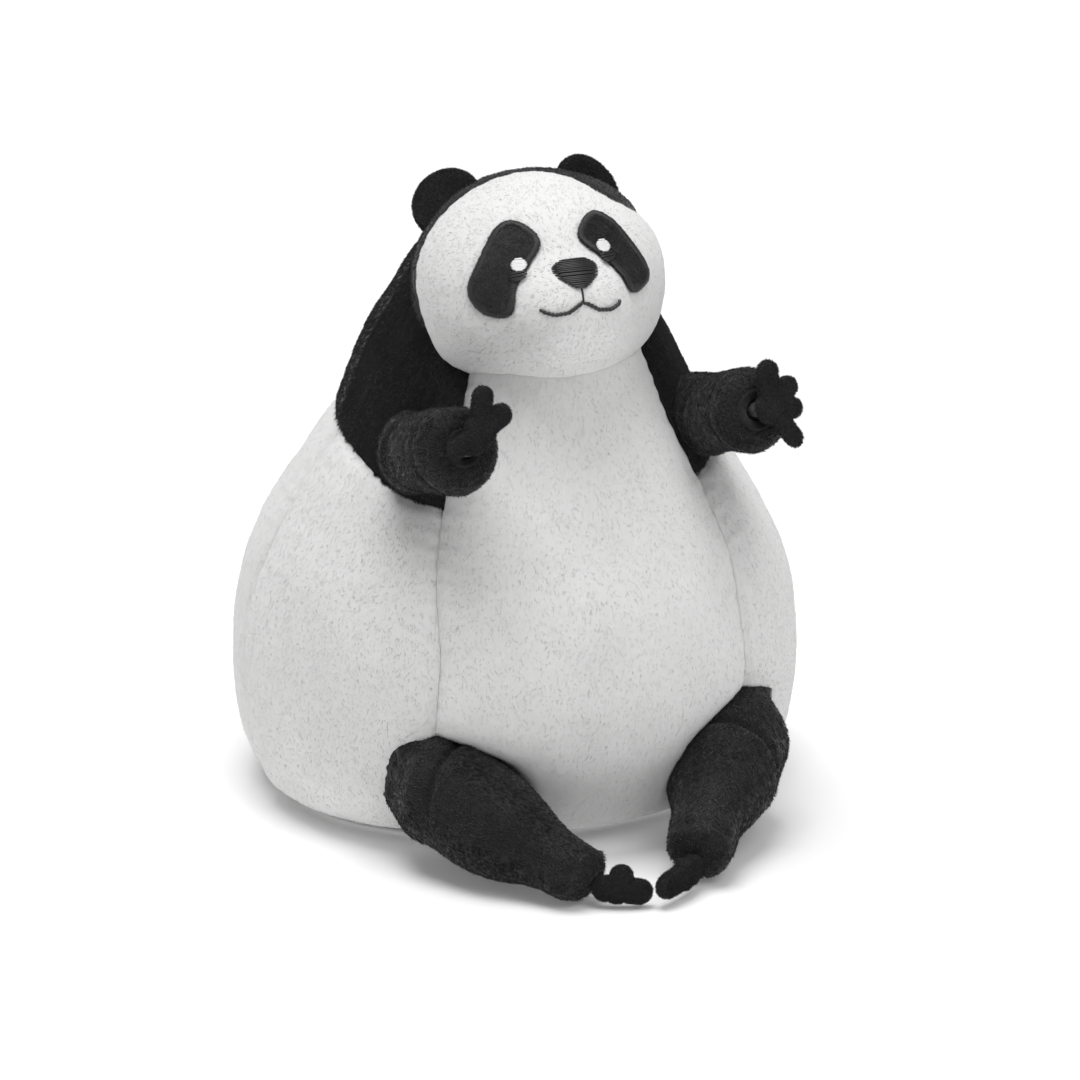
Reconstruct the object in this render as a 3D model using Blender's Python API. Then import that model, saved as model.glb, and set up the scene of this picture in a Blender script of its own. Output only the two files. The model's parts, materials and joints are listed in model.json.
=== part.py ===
"""A seated plush panda, built the way it is sewn: cloth panels over stuffing, with separate limbs,
hands, feet and ears. Metres, +Z up, the panda faces -Y, and its own right is -X."""

import math

import bmesh
import bpy
import numpy as np
from mathutils import Matrix, Vector

MM = 0.001

# Cloth and gaps
CLOTH = 1.6 * MM
SEAM = 0.4 * MM
GAP = 0.35 * MM
STUFFING_GAP = 2.2 * MM
FELT = 0.9 * MM

# Torso: height, half width, reach to the front and reach to the back of each level
AXIS_Y = 13.725 * MM
TORSO_LEVELS = MM * np.array(
    [
        (0, 55, 40, 55),
        (3.5, 61, 50, 61),
        (12, 65.4, 59.5, 65.4),
        (22, 67.1, 65, 68),
        (36, 68, 67.2, 69.2),
        (52, 65.8, 66.4, 66),
        (68, 61, 62, 60),
        (84, 53, 54.5, 51.5),
        (100, 44.8, 47, 42.7),
        (114, 38.6, 41.5, 35.7),
        (126, 32.4, 36.5, 29.2),
        (138, 25, 26, 22.7),
        (147, 15.5, 15, 15.5),
    ]
)
ROW_BUNCHING = 1.3
BASE_TOP = 2.0 * MM
HOOD_TOP = 146.5 * MM
YOKE_FRONT = 88 * MM
YOKE_BACK = 96 * MM
BELLY_HIP_ANGLE = math.radians(37.5)
BELLY_NECK_ANGLE = math.radians(42)
BACK_SEAM_ANGLE = math.radians(98)

# Pouch of pellets low in the torso
POUCH_CENTRE = Vector((0, AXIS_Y + 4 * MM, 15.5 * MM))
POUCH_HALF = 34 * MM
POUCH_TALL = 9 * MM
POUCH_ROOM = 2 * MM
POUCH_SIDES = 20

# Head
HEAD_CENTRE = Vector((0, AXIS_Y - 15.7 * MM, 134.7 * MM))
HEAD_RADIUS = 30.8 * MM
HEAD_HALF_HEIGHT = 26 * MM
HEAD_YAW = math.radians(-3.5)
HEAD_PITCH = math.radians(15)
FACE_SCALE = 29 * MM
MUZZLE_CENTRE = (0, -1.8 * MM)
MUZZLE_RADIUS = 15.3 * MM
MUZZLE_RISE = 6.5 * MM
MUZZLE_SPREAD = 13 * MM
FACE_SEAM_ANGLE = math.radians(95)
EYE_SHIFT = {"right": -0.9 * MM, "left": -2.6 * MM}
BOWL_GAP = 0.9 * MM
BOWL_TOP = 50 * MM
BOWL_SIDES = 36

# Face: outlines in millimetres across and up from the middle of the face, for the panda's left side
EYE_OUTLINE = (
    (12, 19),
    (6.2, 11),
    (10, 5.5),
    (13.4, 1.5),
    (15, -4.6),
    (20.2, -4.6),
    (24.6, 1.6),
    (23, 10),
    (18, 16.6),
)
NOSE_HALF = ((0, 6.5), (3.4, 6.2), (5.2, 4.8), (4, 2.4), (1.6, 0.7), (0, 0.3))
SMILE_HALF = ((0, -2.4), (1.2, -3.1), (3, -4.2), (5.6, -4.5), (7.6, -3.9), (9, -2.8))
GLINT_PLACE = (11.5 * MM, 8.6 * MM)
GLINT_HALF = (1.8 * MM, 1.5 * MM)
PATCH_THICK = 0.7 * MM
NOSE_THICK = 1.0 * MM
THREAD_THICK = 0.5 * MM
MOUTH_WIDTH = 1.1 * MM
PHILTRUM_WIDTH = 0.6 * MM
PHILTRUM_ENDS = (-0.2 * MM, -1.5 * MM)

# Arms reach forwards and a little up from the shoulders
ARM_ROOT = (38.8, 33.4, 100.5)
ARM_RISE = math.radians(21)
ARM_INWARD = {"right": 0.09, "left": -0.03}
ARM_PROFILE = MM * np.array([(0, 9.5), (10, 9.3), (19, 9.5), (24, 9.2)])
ARM_LENGTH = 29 * MM
ARM_TIP = 4 * MM

# Legs come out of the sides of the belly, lie on the floor and turn inwards until the feet meet
LEG_PLACES = {
    "right": ((-38.6, 49.3, 20), (-14, 89, 7.6)),
    "left": ((38.6, 48.2, 22), (13.6, 87.5, 7.8)),
}
LEG_PROFILE = MM * np.array([(0, 13.6), (10, 12.8), (20, 11), (31, 8.8), (39, 7)])
LEG_TIP = 2.6 * MM
SOCKET_GAP = 0.8 * MM
HIP_ROOM = 2.2 * MM
HINGE_GAP = 2.6 * MM
LIMB_SIDES = 16

# Ears stand on the seam between the face and the back of the head
EAR_RADIUS = 8.6 * MM
EAR_HEIGHT = 7.8 * MM
EAR_SPREAD = math.radians(43)
EAR_BEHIND = math.radians(23)
EAR_LIFT = 1.5 * MM
EAR_HOLLOW = 1.2 * MM

SIDES = (("right", -1), ("left", 1))
WHITE = (0.86, 0.86, 0.85)
BLACK = (0.022, 0.022, 0.024)
FELT_BLACK = (0.035, 0.035, 0.037)
THREAD = (0.05, 0.05, 0.055)
BRIGHT = (0.93, 0.93, 0.93)
STUFFING = (0.78, 0.77, 0.74)


def clear_scene():
    for old in list(bpy.data.objects):
        bpy.data.objects.remove(old, do_unlink=True)


def material(name, colour, roughness):
    made = bpy.data.materials.new(name)
    made.use_nodes = True
    shader = made.node_tree.nodes["Principled BSDF"]
    shader.inputs["Base Color"].default_value = (*colour, 1)
    shader.inputs["Roughness"].default_value = roughness
    shader.inputs["Metallic"].default_value = 0
    return made


def add_object(name, bm, look, origin=None):
    """Closes off a bmesh as one object, with its origin at a joint where it has one."""
    bmesh.ops.remove_doubles(bm, verts=bm.verts, dist=0.00002)
    bmesh.ops.recalc_face_normals(bm, faces=bm.faces)
    start = Vector(origin) if origin is not None else Vector((0, 0, 0))
    bmesh.ops.translate(bm, verts=bm.verts, vec=-start)
    mesh = bpy.data.meshes.new(name)
    bm.to_mesh(mesh)
    bm.free()
    mesh.shade_smooth()
    mesh.set_sharp_from_angle(angle=math.radians(40))
    made = bpy.data.objects.new(name, mesh)
    made.location = start
    bpy.context.scene.collection.objects.link(made)
    if look is not None:
        mesh.materials.append(look)
    return made


def grid_faces(bm, grid, wrap):
    """Vertices and quads for one grid of points. Returns the vertices, row by row."""
    rows = [[bm.verts.new(point) for point in row] for row in grid]
    columns = len(grid[0]) if wrap else len(grid[0]) - 1
    for low, high in zip(rows, rows[1:]):
        for j in range(columns):
            k = (j + 1) % len(low)
            bm.faces.new((low[j], low[k], high[k], high[j]))
    return rows


def join_rows(bm, first, second, wrap):
    count = len(first) if wrap else len(first) - 1
    for j in range(count):
        k = (j + 1) % len(first)
        bm.faces.new((first[j], first[k], second[k], second[j]))


def shell(name, look, outer, inner, wrap=False, walls=(True, True), origin=None):
    """One closed sheet of cloth between an outer and an inner grid of points."""
    bm = bmesh.new()
    out = grid_faces(bm, outer, wrap)
    back = grid_faces(bm, inner, wrap)
    for wanted, row in zip(walls, (0, -1)):
        if wanted:
            join_rows(bm, out[row], back[row], wrap)
    if not wrap:
        for column in (0, -1):
            join_rows(bm, [r[column] for r in out], [r[column] for r in back], False)
    return add_object(name, bm, look, origin)


def solid(name, look, rings, origin=None):
    """One closed body through a stack of rings, capped at both ends."""
    bm = bmesh.new()
    rows = grid_faces(bm, rings, True)
    for row in (rows[0], rows[-1]):
        spread = max((v.co - row[0].co).length for v in row)
        if spread > 0.00005:
            bm.faces.new(row)
    return add_object(name, bm, look, origin)


def spline(at, knots, values):
    """A smooth curve through values at knots."""
    slopes = np.gradient(values, knots)
    i = int(np.clip(np.searchsorted(knots, at) - 1, 0, len(knots) - 2))
    span = knots[i + 1] - knots[i]
    t = (at - knots[i]) / span
    a, b = values[i], values[i + 1]
    return (
        a * (2 * t**3 - 3 * t**2 + 1)
        + b * (3 * t**2 - 2 * t**3)
        + span * slopes[i] * (t**3 - 2 * t**2 + t)
        + span * slopes[i + 1] * (t**3 - t**2)
    )


def level_ring(centre, reach, height, sides):
    """A level circle of points, at that height above or below a centre."""
    turns = [2 * math.pi * k / sides for k in range(sides)]
    return [centre + Vector((reach * math.cos(a), reach * math.sin(a), height)) for a in turns]


def place(across, ahead, height):
    """A point given in millimetres from the torso's upright axis: to the left, ahead and up."""
    return Vector((across * MM, AXIS_Y - ahead * MM, height * MM))


def blend(a, b, share):
    return a + (b - a) * share


def smoothstep(value, low, high):
    t = min(max((value - low) / (high - low), 0), 1)
    return t * t * (3 - 2 * t)


def torso_skin(angle, height):
    """A point on the torso's outside. The angle runs from the front towards the panda's left."""
    half, front, back = (
        spline(height, TORSO_LEVELS[:, 0], TORSO_LEVELS[:, k]) for k in (1, 2, 3)
    )
    reach = front if math.cos(angle) > 0 else back
    return Vector((half * math.sin(angle), AXIS_Y - reach * math.cos(angle), height))


def torso_point(angle, height, inset=0.0):
    point = torso_skin(angle, height)
    if inset == 0:
        return point
    step = 0.3 * MM
    around = torso_skin(angle + 0.01, height) - torso_skin(angle - 0.01, height)
    above = torso_skin(angle, height + step) - torso_skin(angle, height - step)
    return point - around.cross(above).normalized() * inset


def torso_panel(name, look, left, right, bottom, top, columns, rows):
    """A panel of cloth between two upright seams and two level seams, each a function of the other."""
    sheets = ([], [])
    for i in range(rows + 1):
        lines = ([], [])
        for j in range(columns + 1):
            share = (i / rows) ** ROW_BUNCHING
            height = blend(bottom(0), top(0), share)
            for _ in range(4):
                room = SEAM / 2 / spline(height, TORSO_LEVELS[:, 0], TORSO_LEVELS[:, 1])
                angle = blend(left(height) + room, right(height) - room, j / columns)
                low, high = bottom(angle) + SEAM / 2, top(angle) - SEAM / 2
                height = blend(low, high, share)
            lines[0].append(torso_point(angle, height))
            lines[1].append(torso_point(angle, height, CLOTH))
        for sheet, line in zip(sheets, lines):
            sheet.append(line)
    return shell(name, look, *sheets)


def belly_seam(height):
    return blend(BELLY_HIP_ANGLE, BELLY_NECK_ANGLE, smoothstep(height, 50 * MM, YOKE_FRONT))


def yoke_seam(angle):
    return blend(YOKE_FRONT, YOKE_BACK, smoothstep(abs(angle), BELLY_NECK_ANGLE, BACK_SEAM_ANGLE))


def build_torso(white, black, stuffing):
    floor, crown = (lambda a: BASE_TOP), (lambda a: HOOD_TOP)
    back = BACK_SEAM_ANGLE
    turn = 2 * math.pi
    pieces = [
        torso_panel(
            "belly_panel",
            white,
            lambda h: -belly_seam(h),
            belly_seam,
            floor,
            lambda a: 126 * MM,
            10,
            10,
        ),
        torso_panel(
            "back_panel", white, lambda h: back, lambda h: turn - back, floor, lambda a: YOKE_BACK, 12, 8
        ),
        torso_panel(
            "upper_back_panel",
            black,
            lambda h: back,
            lambda h: turn - back,
            lambda a: YOKE_BACK,
            crown,
            12,
            5,
        ),
    ]
    for side, sign in SIDES:
        for name, look, low, high, rows in (
            (f"{side}_side_panel", white, floor, yoke_seam, 8),
            (f"{side}_shoulder_panel", black, yoke_seam, crown, 5),
        ):
            if sign > 0:
                edges = (belly_seam, lambda h: back)
            else:
                edges = (lambda h: -back, lambda h: -belly_seam(h))
            pieces.append(torso_panel(name, look, *edges, low, high, 6, rows))
    pieces.append(base_panel(white))
    pieces.append(torso_stuffing(stuffing))
    pieces.append(pellet_pouch(white))
    return {piece.name: piece for piece in pieces}


def torso_ring(height, inset, sides=32):
    return [torso_point(2 * math.pi * k / sides, height, inset) for k in range(sides)]


def base_panel(look):
    """The flat oval that the panda sits on. Its rim follows the torso."""
    rim = SEAM / 2
    levels = (0.0, 0.9 * MM, BASE_TOP - SEAM)
    rings = [torso_ring(max(h, 0.05 * MM), rim) for h in levels]
    for ring, height in zip(rings, levels):
        for point in ring:
            point.z = height
    return solid("base_panel", look, rings)


def torso_stuffing(look):
    inset = CLOTH + STUFFING_GAP
    low, high = BASE_TOP + inset, HOOD_TOP - CLOTH
    heights = [blend(low, high, k / 10) for k in range(11)]
    return solid("torso_stuffing", look, [torso_ring(h, inset, 24) for h in heights])


def pellet_pouch(look):
    """A flat bag of pellets low in the torso, which keeps the panda sitting up."""
    rings = []
    for k in range(7):
        tilt = -math.pi / 2 + math.pi * k / 6
        reach, height = POUCH_HALF * math.cos(tilt), POUCH_TALL * math.sin(tilt)
        rings.append(level_ring(POUCH_CENTRE, reach, height, POUCH_SIDES))
    return solid("pellet_pouch", look, rings)


def face_axes():
    """The way the face looks, its own left and its own up."""
    turn = Matrix.Rotation(HEAD_YAW, 3, "Z") @ Matrix.Rotation(-HEAD_PITCH, 3, "X")
    return turn @ Vector((0, -1, 0)), turn @ Vector((1, 0, 0)), turn @ Vector((0, 0, 1))


def face_direction(across, up):
    """The direction from the head's centre to a place on the face, given in metres along its surface."""
    ahead, left, high = face_axes()
    far = math.hypot(across, up)
    if far < 1e-9:
        return ahead
    spread = far / FACE_SCALE
    return ahead * math.cos(spread) + (left * across + high * up) / far * math.sin(spread)


def face_place(direction):
    """The reverse of face_direction."""
    ahead, left, high = face_axes()
    spread = math.acos(min(max(direction.dot(ahead), -1), 1))
    flat = Vector((direction.dot(left), direction.dot(high)))
    return flat.normalized() * spread * FACE_SCALE if flat.length > 1e-9 else flat


def head_reach(direction):
    level = math.hypot(direction.x, direction.y) / HEAD_RADIUS
    plain = 1 / math.hypot(level, direction.z / HEAD_HALF_HEIGHT)
    place = face_place(direction)
    off = Vector((place.x, 1.15 * (place.y + 6 * MM))).length / MUZZLE_SPREAD
    return plain + MUZZLE_RISE * math.exp(-(off**3))


def head_point(across, up, lift=0.0):
    direction = face_direction(across, up)
    return HEAD_CENTRE + direction * (head_reach(direction) + lift)


def head_ring(radius, lift, centre=(0, 0), sides=30):
    turns = [2 * math.pi * k / sides for k in range(sides)]
    return [
        head_point(centre[0] + radius * math.cos(a), centre[1] + radius * math.sin(a), lift)
        for a in turns
    ]


def build_head(white, black, stuffing):
    edge = FACE_SEAM_ANGLE * FACE_SCALE
    pole = math.pi * FACE_SCALE
    room = SEAM / 2

    def rings(inner, outer, first, last, count, lift):
        made = []
        for k in range(count + 1):
            share = k / count
            centre = (blend(first[0], last[0], share), blend(first[1], last[1], share))
            made.append(head_ring(blend(inner, outer, share), lift, centre))
        return made

    middle = (0, 0)
    spans = (
        ("muzzle_panel", white, 0, MUZZLE_RADIUS - room, MUZZLE_CENTRE, MUZZLE_CENTRE, 4, (False, True)),
        ("face_panel", white, MUZZLE_RADIUS + room, edge - room, MUZZLE_CENTRE, middle, 6, (True, True)),
        ("back_of_head_panel", black, edge + room, pole, middle, middle, 5, (True, False)),
    )
    pieces = []
    for name, look, inner, outer, first, last, count, walls in spans:
        sheets = [rings(inner, outer, first, last, count, lift) for lift in (0, -CLOTH)]
        pieces.append(shell(name, look, *sheets, wrap=True, walls=walls))
    deep = -(CLOTH + STUFFING_GAP)
    core = [head_ring(pole * k / 10, deep, sides=20) for k in range(11)]
    pieces.append(solid("head_stuffing", stuffing, core))
    return pieces


def closed_curve(points, per_span=3):
    """A smooth closed line through a few points."""
    count, made = len(points), []
    for i in range(count):
        a, b, c, d = (np.array(points[(i + k) % count], float) for k in (-1, 0, 1, 2))
        for step in range(per_span):
            t = step / per_span
            bend = (2 * a - 5 * b + 4 * c - d) * t**2 + (3 * b - a - 3 * c + d) * t**3
            made.append(0.5 * (2 * b + (c - a) * t + bend))
    return made


def patch(name, look, outline, lift, thick, rings=3):
    """A flat shape laid on the face: its outline is drawn in towards its middle, ring by ring."""
    centre = sum(outline) / len(outline)
    sheets = ([], [])
    for k in range(rings + 1):
        share = k / rings
        line = [centre + (p - centre) * share for p in outline]
        for sheet, height in zip(sheets, (lift + thick, lift)):
            sheet.append([head_point(*p, height) for p in line])
    return shell(name, look, *sheets, wrap=True, walls=(False, True))


def band(name, look, line, width, lift, thick):
    """A row of stitches laid on the face along a line."""
    sheets = ([], [])
    for i, point in enumerate(line):
        before, after = line[max(i - 1, 0)], line[min(i + 1, len(line) - 1)]
        along = (after - before) / np.linalg.norm(after - before)
        side = np.array((-along[1], along[0])) * width / 2
        for sheet, height in zip(sheets, (lift + thick, lift)):
            sheet.append([head_point(*(point + side * s), height) for s in (-1, 1)])
    return shell(name, look, *sheets)


def mirrored(half):
    """The points of one half, with their mirror images in reverse order in front."""
    return [(-x, y) for x, y in reversed(half) if x > 0] + list(half)


def build_face(black, thread, bright):
    """Eye patches, highlights, nose and mouth, drawn on the face in metres across and up."""
    eye = MM * np.array(EYE_OUTLINE)
    nose = MM * np.array(mirrored(NOSE_HALF))
    smile = MM * np.array(mirrored(SMILE_HALF))
    for side, sign in SIDES:
        shift = np.array((EYE_SHIFT[side], 0))
        outline = [p * (sign, 1) + shift for p in closed_curve(eye)]
        patch(f"{side}_eye_patch", black, outline, GAP, PATCH_THICK, 3)
        turns = [2 * math.pi * k / 12 for k in range(12)]
        middle = np.array((sign * GLINT_PLACE[0], GLINT_PLACE[1])) + shift
        glint = [middle + np.array(GLINT_HALF) * (math.cos(a), math.sin(a)) for a in turns]
        patch(f"{side}_eye_highlight", bright, glint, 2 * GAP + PATCH_THICK, THREAD_THICK, 1)
    patch("nose_embroidery", thread, closed_curve(nose, 2), GAP, NOSE_THICK, 2)
    band("mouth_embroidery", thread, smile, MOUTH_WIDTH, GAP, THREAD_THICK)
    philtrum = [np.array((0, height)) for height in np.linspace(*PHILTRUM_ENDS, 3)]
    band("philtrum_embroidery", thread, philtrum, PHILTRUM_WIDTH, GAP, THREAD_THICK)


def axes_from(along, upward):
    """Three directions at right angles: along, and the part of upward that is square to it."""
    x = Vector(along).normalized()
    z = (Vector(upward) - x * x.dot(Vector(upward))).normalized()
    return x, z.cross(x), z


def limb_profile(radii, length, tip, back_angle):
    """Distance along the limb and radius, from the rounded root to the closed tip."""
    root = radii[0][1]
    made = []
    for k in range(3):
        a = blend(back_angle, math.pi / 2, k / 3)
        made.append((root * math.cos(a), root * math.sin(a)))
    made += [tuple(r) for r in radii]
    last_at, last_radius = radii[-1]
    for k in range(1, 4):
        a = math.pi / 2 * k / 3
        reach = length - last_at
        radius = blend(tip, last_radius, math.cos(a)) if k < 3 else tip
        made.append((last_at + reach * math.sin(a), radius))
    made.append((length, 0.0))
    return made


def offset_profile(profile, inset):
    """The same profile, drawn in by the cloth's thickness."""
    points = np.array(profile)
    along = np.gradient(points, axis=0)
    along /= np.maximum(np.linalg.norm(along, axis=1)[:, None], 1e-9)
    moved = points + inset * np.stack([along[:, 1], -along[:, 0]], axis=1)
    tip = points[-1][0] - inset
    moved[:, 0] = np.minimum(moved[:, 0], tip)
    moved[:, 1] = np.maximum(moved[:, 1], 0)
    moved[-1] = (tip, 0)
    return moved


def limb_rings(profile, root, axes, sides):
    x, y, z = axes
    turns = [2 * math.pi * k / sides for k in range(sides)]
    return [[root + x * s + (y * math.cos(a) + z * math.sin(a)) * r for a in turns] for s, r in profile]


def limb(name, look, stuffing, root, along, radii, length, tip):
    """A stuffed tube: an open-rooted cloth cover and the stuffing inside it."""
    axes = axes_from(along, (0, 0, 1))
    outer = limb_profile(radii, length, tip, math.radians(150))
    inner = offset_profile(outer, CLOTH)
    cover = shell(
        f"{name}_cover",
        look,
        limb_rings(outer, root, axes, LIMB_SIDES),
        limb_rings(inner, root, axes, LIMB_SIDES),
        wrap=True,
        walls=(True, False),
        origin=root,
    )
    core = offset_profile(outer, CLOTH + GAP)
    core = [p for p in core[:-1] if p[1] > 0.3 * MM] + [core[-1]]
    filling = solid(f"{name}_stuffing", stuffing, limb_rings(core, root, axes, LIMB_SIDES), origin=root)
    return [cover, filling]


def lobed_outline(palm, lobes, count=44):
    """A flat hand or foot: a round palm with lobes, each given by its direction, length and half width."""
    made = []
    for k in range(count):
        turn = 2 * math.pi * k / count
        reach = palm
        for direction, length, half in lobes:
            off = math.radians(direction) - turn
            beside, ahead = abs(math.sin(off)), math.cos(off)
            if ahead <= 0:
                continue
            span = length - half
            inside = half**2 - (span * beside) ** 2
            if inside > 0:
                reach = max(reach, span * ahead + math.sqrt(inside))
            elif beside > 1e-6:
                reach = max(reach, min(half / beside, span))
        made.append((reach * math.cos(turn), reach * math.sin(turn)))
    return made


def felt_pair(name, look, outline, centre, axes, hinge):
    """Two layers of felt of the same outline, back to back."""
    x, y, z = axes
    pieces = []
    for layer, sign in (("front", 1), ("back", -1)):
        levels = (sign * GAP / 2, sign * (GAP / 2 + FELT))
        rings = [[centre + x * a + z * b + y * level for a, b in outline] for level in levels]
        pieces.append(solid(f"{name}_{layer}", look, rings, origin=hinge))
    return pieces


def arm_line(side, sign):
    """An arm's root, its direction and its length."""
    across, ahead, height = ARM_ROOT
    along = Vector((-ARM_INWARD[side] * sign, -math.cos(ARM_RISE), math.sin(ARM_RISE))).normalized()
    return place(across * sign, ahead, height), along, ARM_LENGTH


def build_arm(side, sign, black, felt, stuffing):
    root, along, length = arm_line(side, sign)
    limb(f"{side}_arm", black, stuffing, root, along, ARM_PROFILE, length, ARM_TIP)
    hinge = root + along * (length + HINGE_GAP)
    # The hand stands across the arm. Its fingers are given by direction, length and half width.
    if side == "left":
        middle = (3.6, 0.4)
        fingers = ((88, 13, 2.4), (45, 9.6, 2.6), (-14, 8.6, 2.6), (-66, 10, 1.9))
    else:
        middle = (2.6, 5.4)
        fingers = ((84, 11.5, 2.4), (26, 9.2, 2.7), (-147, 10, 1.9))
    wrist = math.degrees(math.atan2(-middle[1], -middle[0]))
    fingers += ((wrist, math.hypot(*middle), 2.6),)
    outline = lobed_outline(3.6 * MM, [(turn, far * MM, half * MM) for turn, far, half in fingers])
    axes = axes_from((1, 0, 0), along.cross(Vector((1, 0, 0))))
    centre = hinge + axes[0] * middle[0] * MM + axes[2] * middle[1] * MM
    felt_pair(f"{side}_hand", felt, outline, centre, axes, hinge)


def leg_line(side):
    """A leg's root, its direction and its length."""
    root, end = (place(*point) for point in LEG_PLACES[side])
    return root, (end - root).normalized(), (end - root).length


def build_leg(side, sign, black, felt, stuffing):
    root, along, length = leg_line(side)
    limb(f"{side}_leg", black, stuffing, root, along, LEG_PROFILE, length, LEG_TIP)
    hinge = root + along * (length + HINGE_GAP)
    axes = axes_from((-sign, -0.4, 0), (0, 0, 1))
    long = 7.4 if side == "right" else 8.4
    toes = ((-8, long, 2.8), (62, 6.0, 2.2), (180, 4.2, 2.8))
    outline = lobed_outline(3.6 * MM, [(turn, far * MM, half * MM) for turn, far, half in toes], 36)
    centre = hinge + axes[0] * 4.2 * MM
    centre.z = 5.0 * MM
    felt_pair(f"{side}_foot", felt, outline, centre, axes, hinge)


def ear_frame(sign):
    """The ear's base on the head's surface, and the directions out of the head and through the ear."""
    ahead, left, high = face_axes()
    turn = EAR_SPREAD * sign
    behind = FACE_SEAM_ANGLE + EAR_BEHIND
    across = left * math.sin(turn) + high * math.cos(turn)
    direction = (ahead * math.cos(behind) + across * math.sin(behind)).normalized()
    base = HEAD_CENTRE + direction * (head_reach(direction) + EAR_LIFT)
    return base, direction, ahead


def build_ear(side, sign, felt):
    base, outward, ahead = ear_frame(sign)
    x, y, z = axes_from(outward, ahead)
    # x points away from the head, y along the base and z through the ear.
    outline = []
    for k in range(15):
        turn = -math.pi / 2 + math.pi * k / 14
        beside = EAR_RADIUS * math.sin(turn)
        outline.append((EAR_HEIGHT * math.cos(turn) - EAR_HOLLOW * math.sin(turn) ** 2, beside))
    outline.append((-EAR_HOLLOW * 0.25, EAR_RADIUS * 0.5))
    outline.append((0, 0))
    outline.append((-EAR_HOLLOW * 0.25, -EAR_RADIUS * 0.5))
    return felt_pair(f"{side}_ear", felt, outline, base, (x, z, y), base)


def limb_space(name, root, along, radii, length, tip):
    """The space that a limb takes up at rest, with a gap all round it."""
    profile = offset_profile(limb_profile(radii, length, tip, math.radians(176)), -SOCKET_GAP)
    rings = limb_rings(profile, root, axes_from(along, (0, 0, 1)), LIMB_SIDES)
    return as_cutter(solid(name, None, rings))


def ball_space(name, centre, radius):
    bm = bmesh.new()
    bmesh.ops.create_uvsphere(bm, u_segments=20, v_segments=10, radius=radius)
    bmesh.ops.translate(bm, verts=bm.verts, vec=centre)
    return as_cutter(add_object(name, bm, None))


def as_cutter(made):
    made.hide_render = True
    made.display_type = "WIRE"
    return made


def head_bowl():
    """The space that the head turns in: its own lower half all round, and open above."""
    radius, half = HEAD_RADIUS + BOWL_GAP, HEAD_HALF_HEIGHT + BOWL_GAP
    tilts = np.linspace(math.pi / 2 - 0.05, 0, 10)
    profile = [(radius * math.cos(tilt), -half * math.sin(tilt)) for tilt in tilts]
    profile.append((radius, BOWL_TOP))
    rings = []
    for reach, height in profile:
        rings.append(level_ring(HEAD_CENTRE, reach, height, BOWL_SIDES))
    return as_cutter(solid("head_bowl_cutter", None, rings))


def cut(target, cutter):
    hole = target.modifiers.new(f"cut by {cutter.name}", "BOOLEAN")
    hole.operation = "DIFFERENCE"
    hole.solver = "EXACT"
    hole.object = cutter


def cut_sockets(torso):
    bowl = head_bowl()
    shoulders = ["right_shoulder_panel", "left_shoulder_panel"]
    for name in ["belly_panel", "upper_back_panel", "torso_stuffing", *shoulders]:
        cut(torso[name], bowl)
    for side, sign in SIDES:
        socket = ball_space(f"{side}_arm_space", arm_line(side, sign)[0], ARM_PROFILE[0][1] + SOCKET_GAP)
        for name in ("belly_panel", f"{side}_side_panel", f"{side}_shoulder_panel", "torso_stuffing"):
            cut(torso[name], socket)
        root, along, length = leg_line(side)
        cut(torso["torso_stuffing"], ball_space(f"{side}_hip_space", root, LEG_PROFILE[0][1] + HIP_ROOM))
        space = limb_space(f"{side}_leg_space", root, along, LEG_PROFILE, length, LEG_TIP)
        for name in ("belly_panel", f"{side}_side_panel", "torso_stuffing"):
            cut(torso[name], space)
    cut(torso["torso_stuffing"], pouch_space())


def pouch_space():
    """The pouch's own space inside the stuffing opens downwards, onto the base panel."""
    radius = POUCH_HALF + POUCH_ROOM
    depth = 2 * (POUCH_TALL + POUCH_ROOM) + POUCH_ROOM
    hollow = bmesh.new()
    bmesh.ops.create_cone(hollow, cap_ends=True, segments=24, radius1=radius, radius2=radius, depth=depth)
    bmesh.ops.translate(hollow, verts=hollow.verts, vec=POUCH_CENTRE - Vector((0, 0, POUCH_ROOM)))
    return as_cutter(add_object("pouch_space", hollow, None))


def build():
    clear_scene()
    white = material("white_plush", WHITE, 0.9)
    black = material("black_plush", BLACK, 0.85)
    felt = material("black_felt", FELT_BLACK, 0.95)
    thread = material("black_thread", THREAD, 0.5)
    bright = material("white_thread", BRIGHT, 0.5)
    stuffing = material("stuffing", STUFFING, 1.0)
    torso = build_torso(white, black, stuffing)
    cut_sockets(torso)
    build_head(white, black, stuffing)
    build_face(black, thread, bright)
    for side, sign in SIDES:
        build_arm(side, sign, black, felt, stuffing)
        build_leg(side, sign, black, felt, stuffing)
        build_ear(side, sign, felt)


build()
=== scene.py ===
"""The seated plush panda, dressed: plush panels, seams, stitches, embroidery and felt round the frame.
Metres, +Z up. The panda faces -Y, and its own right is -X."""

import json
import math

import bpy
import numpy as np
from mathutils import Matrix, Vector


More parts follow.
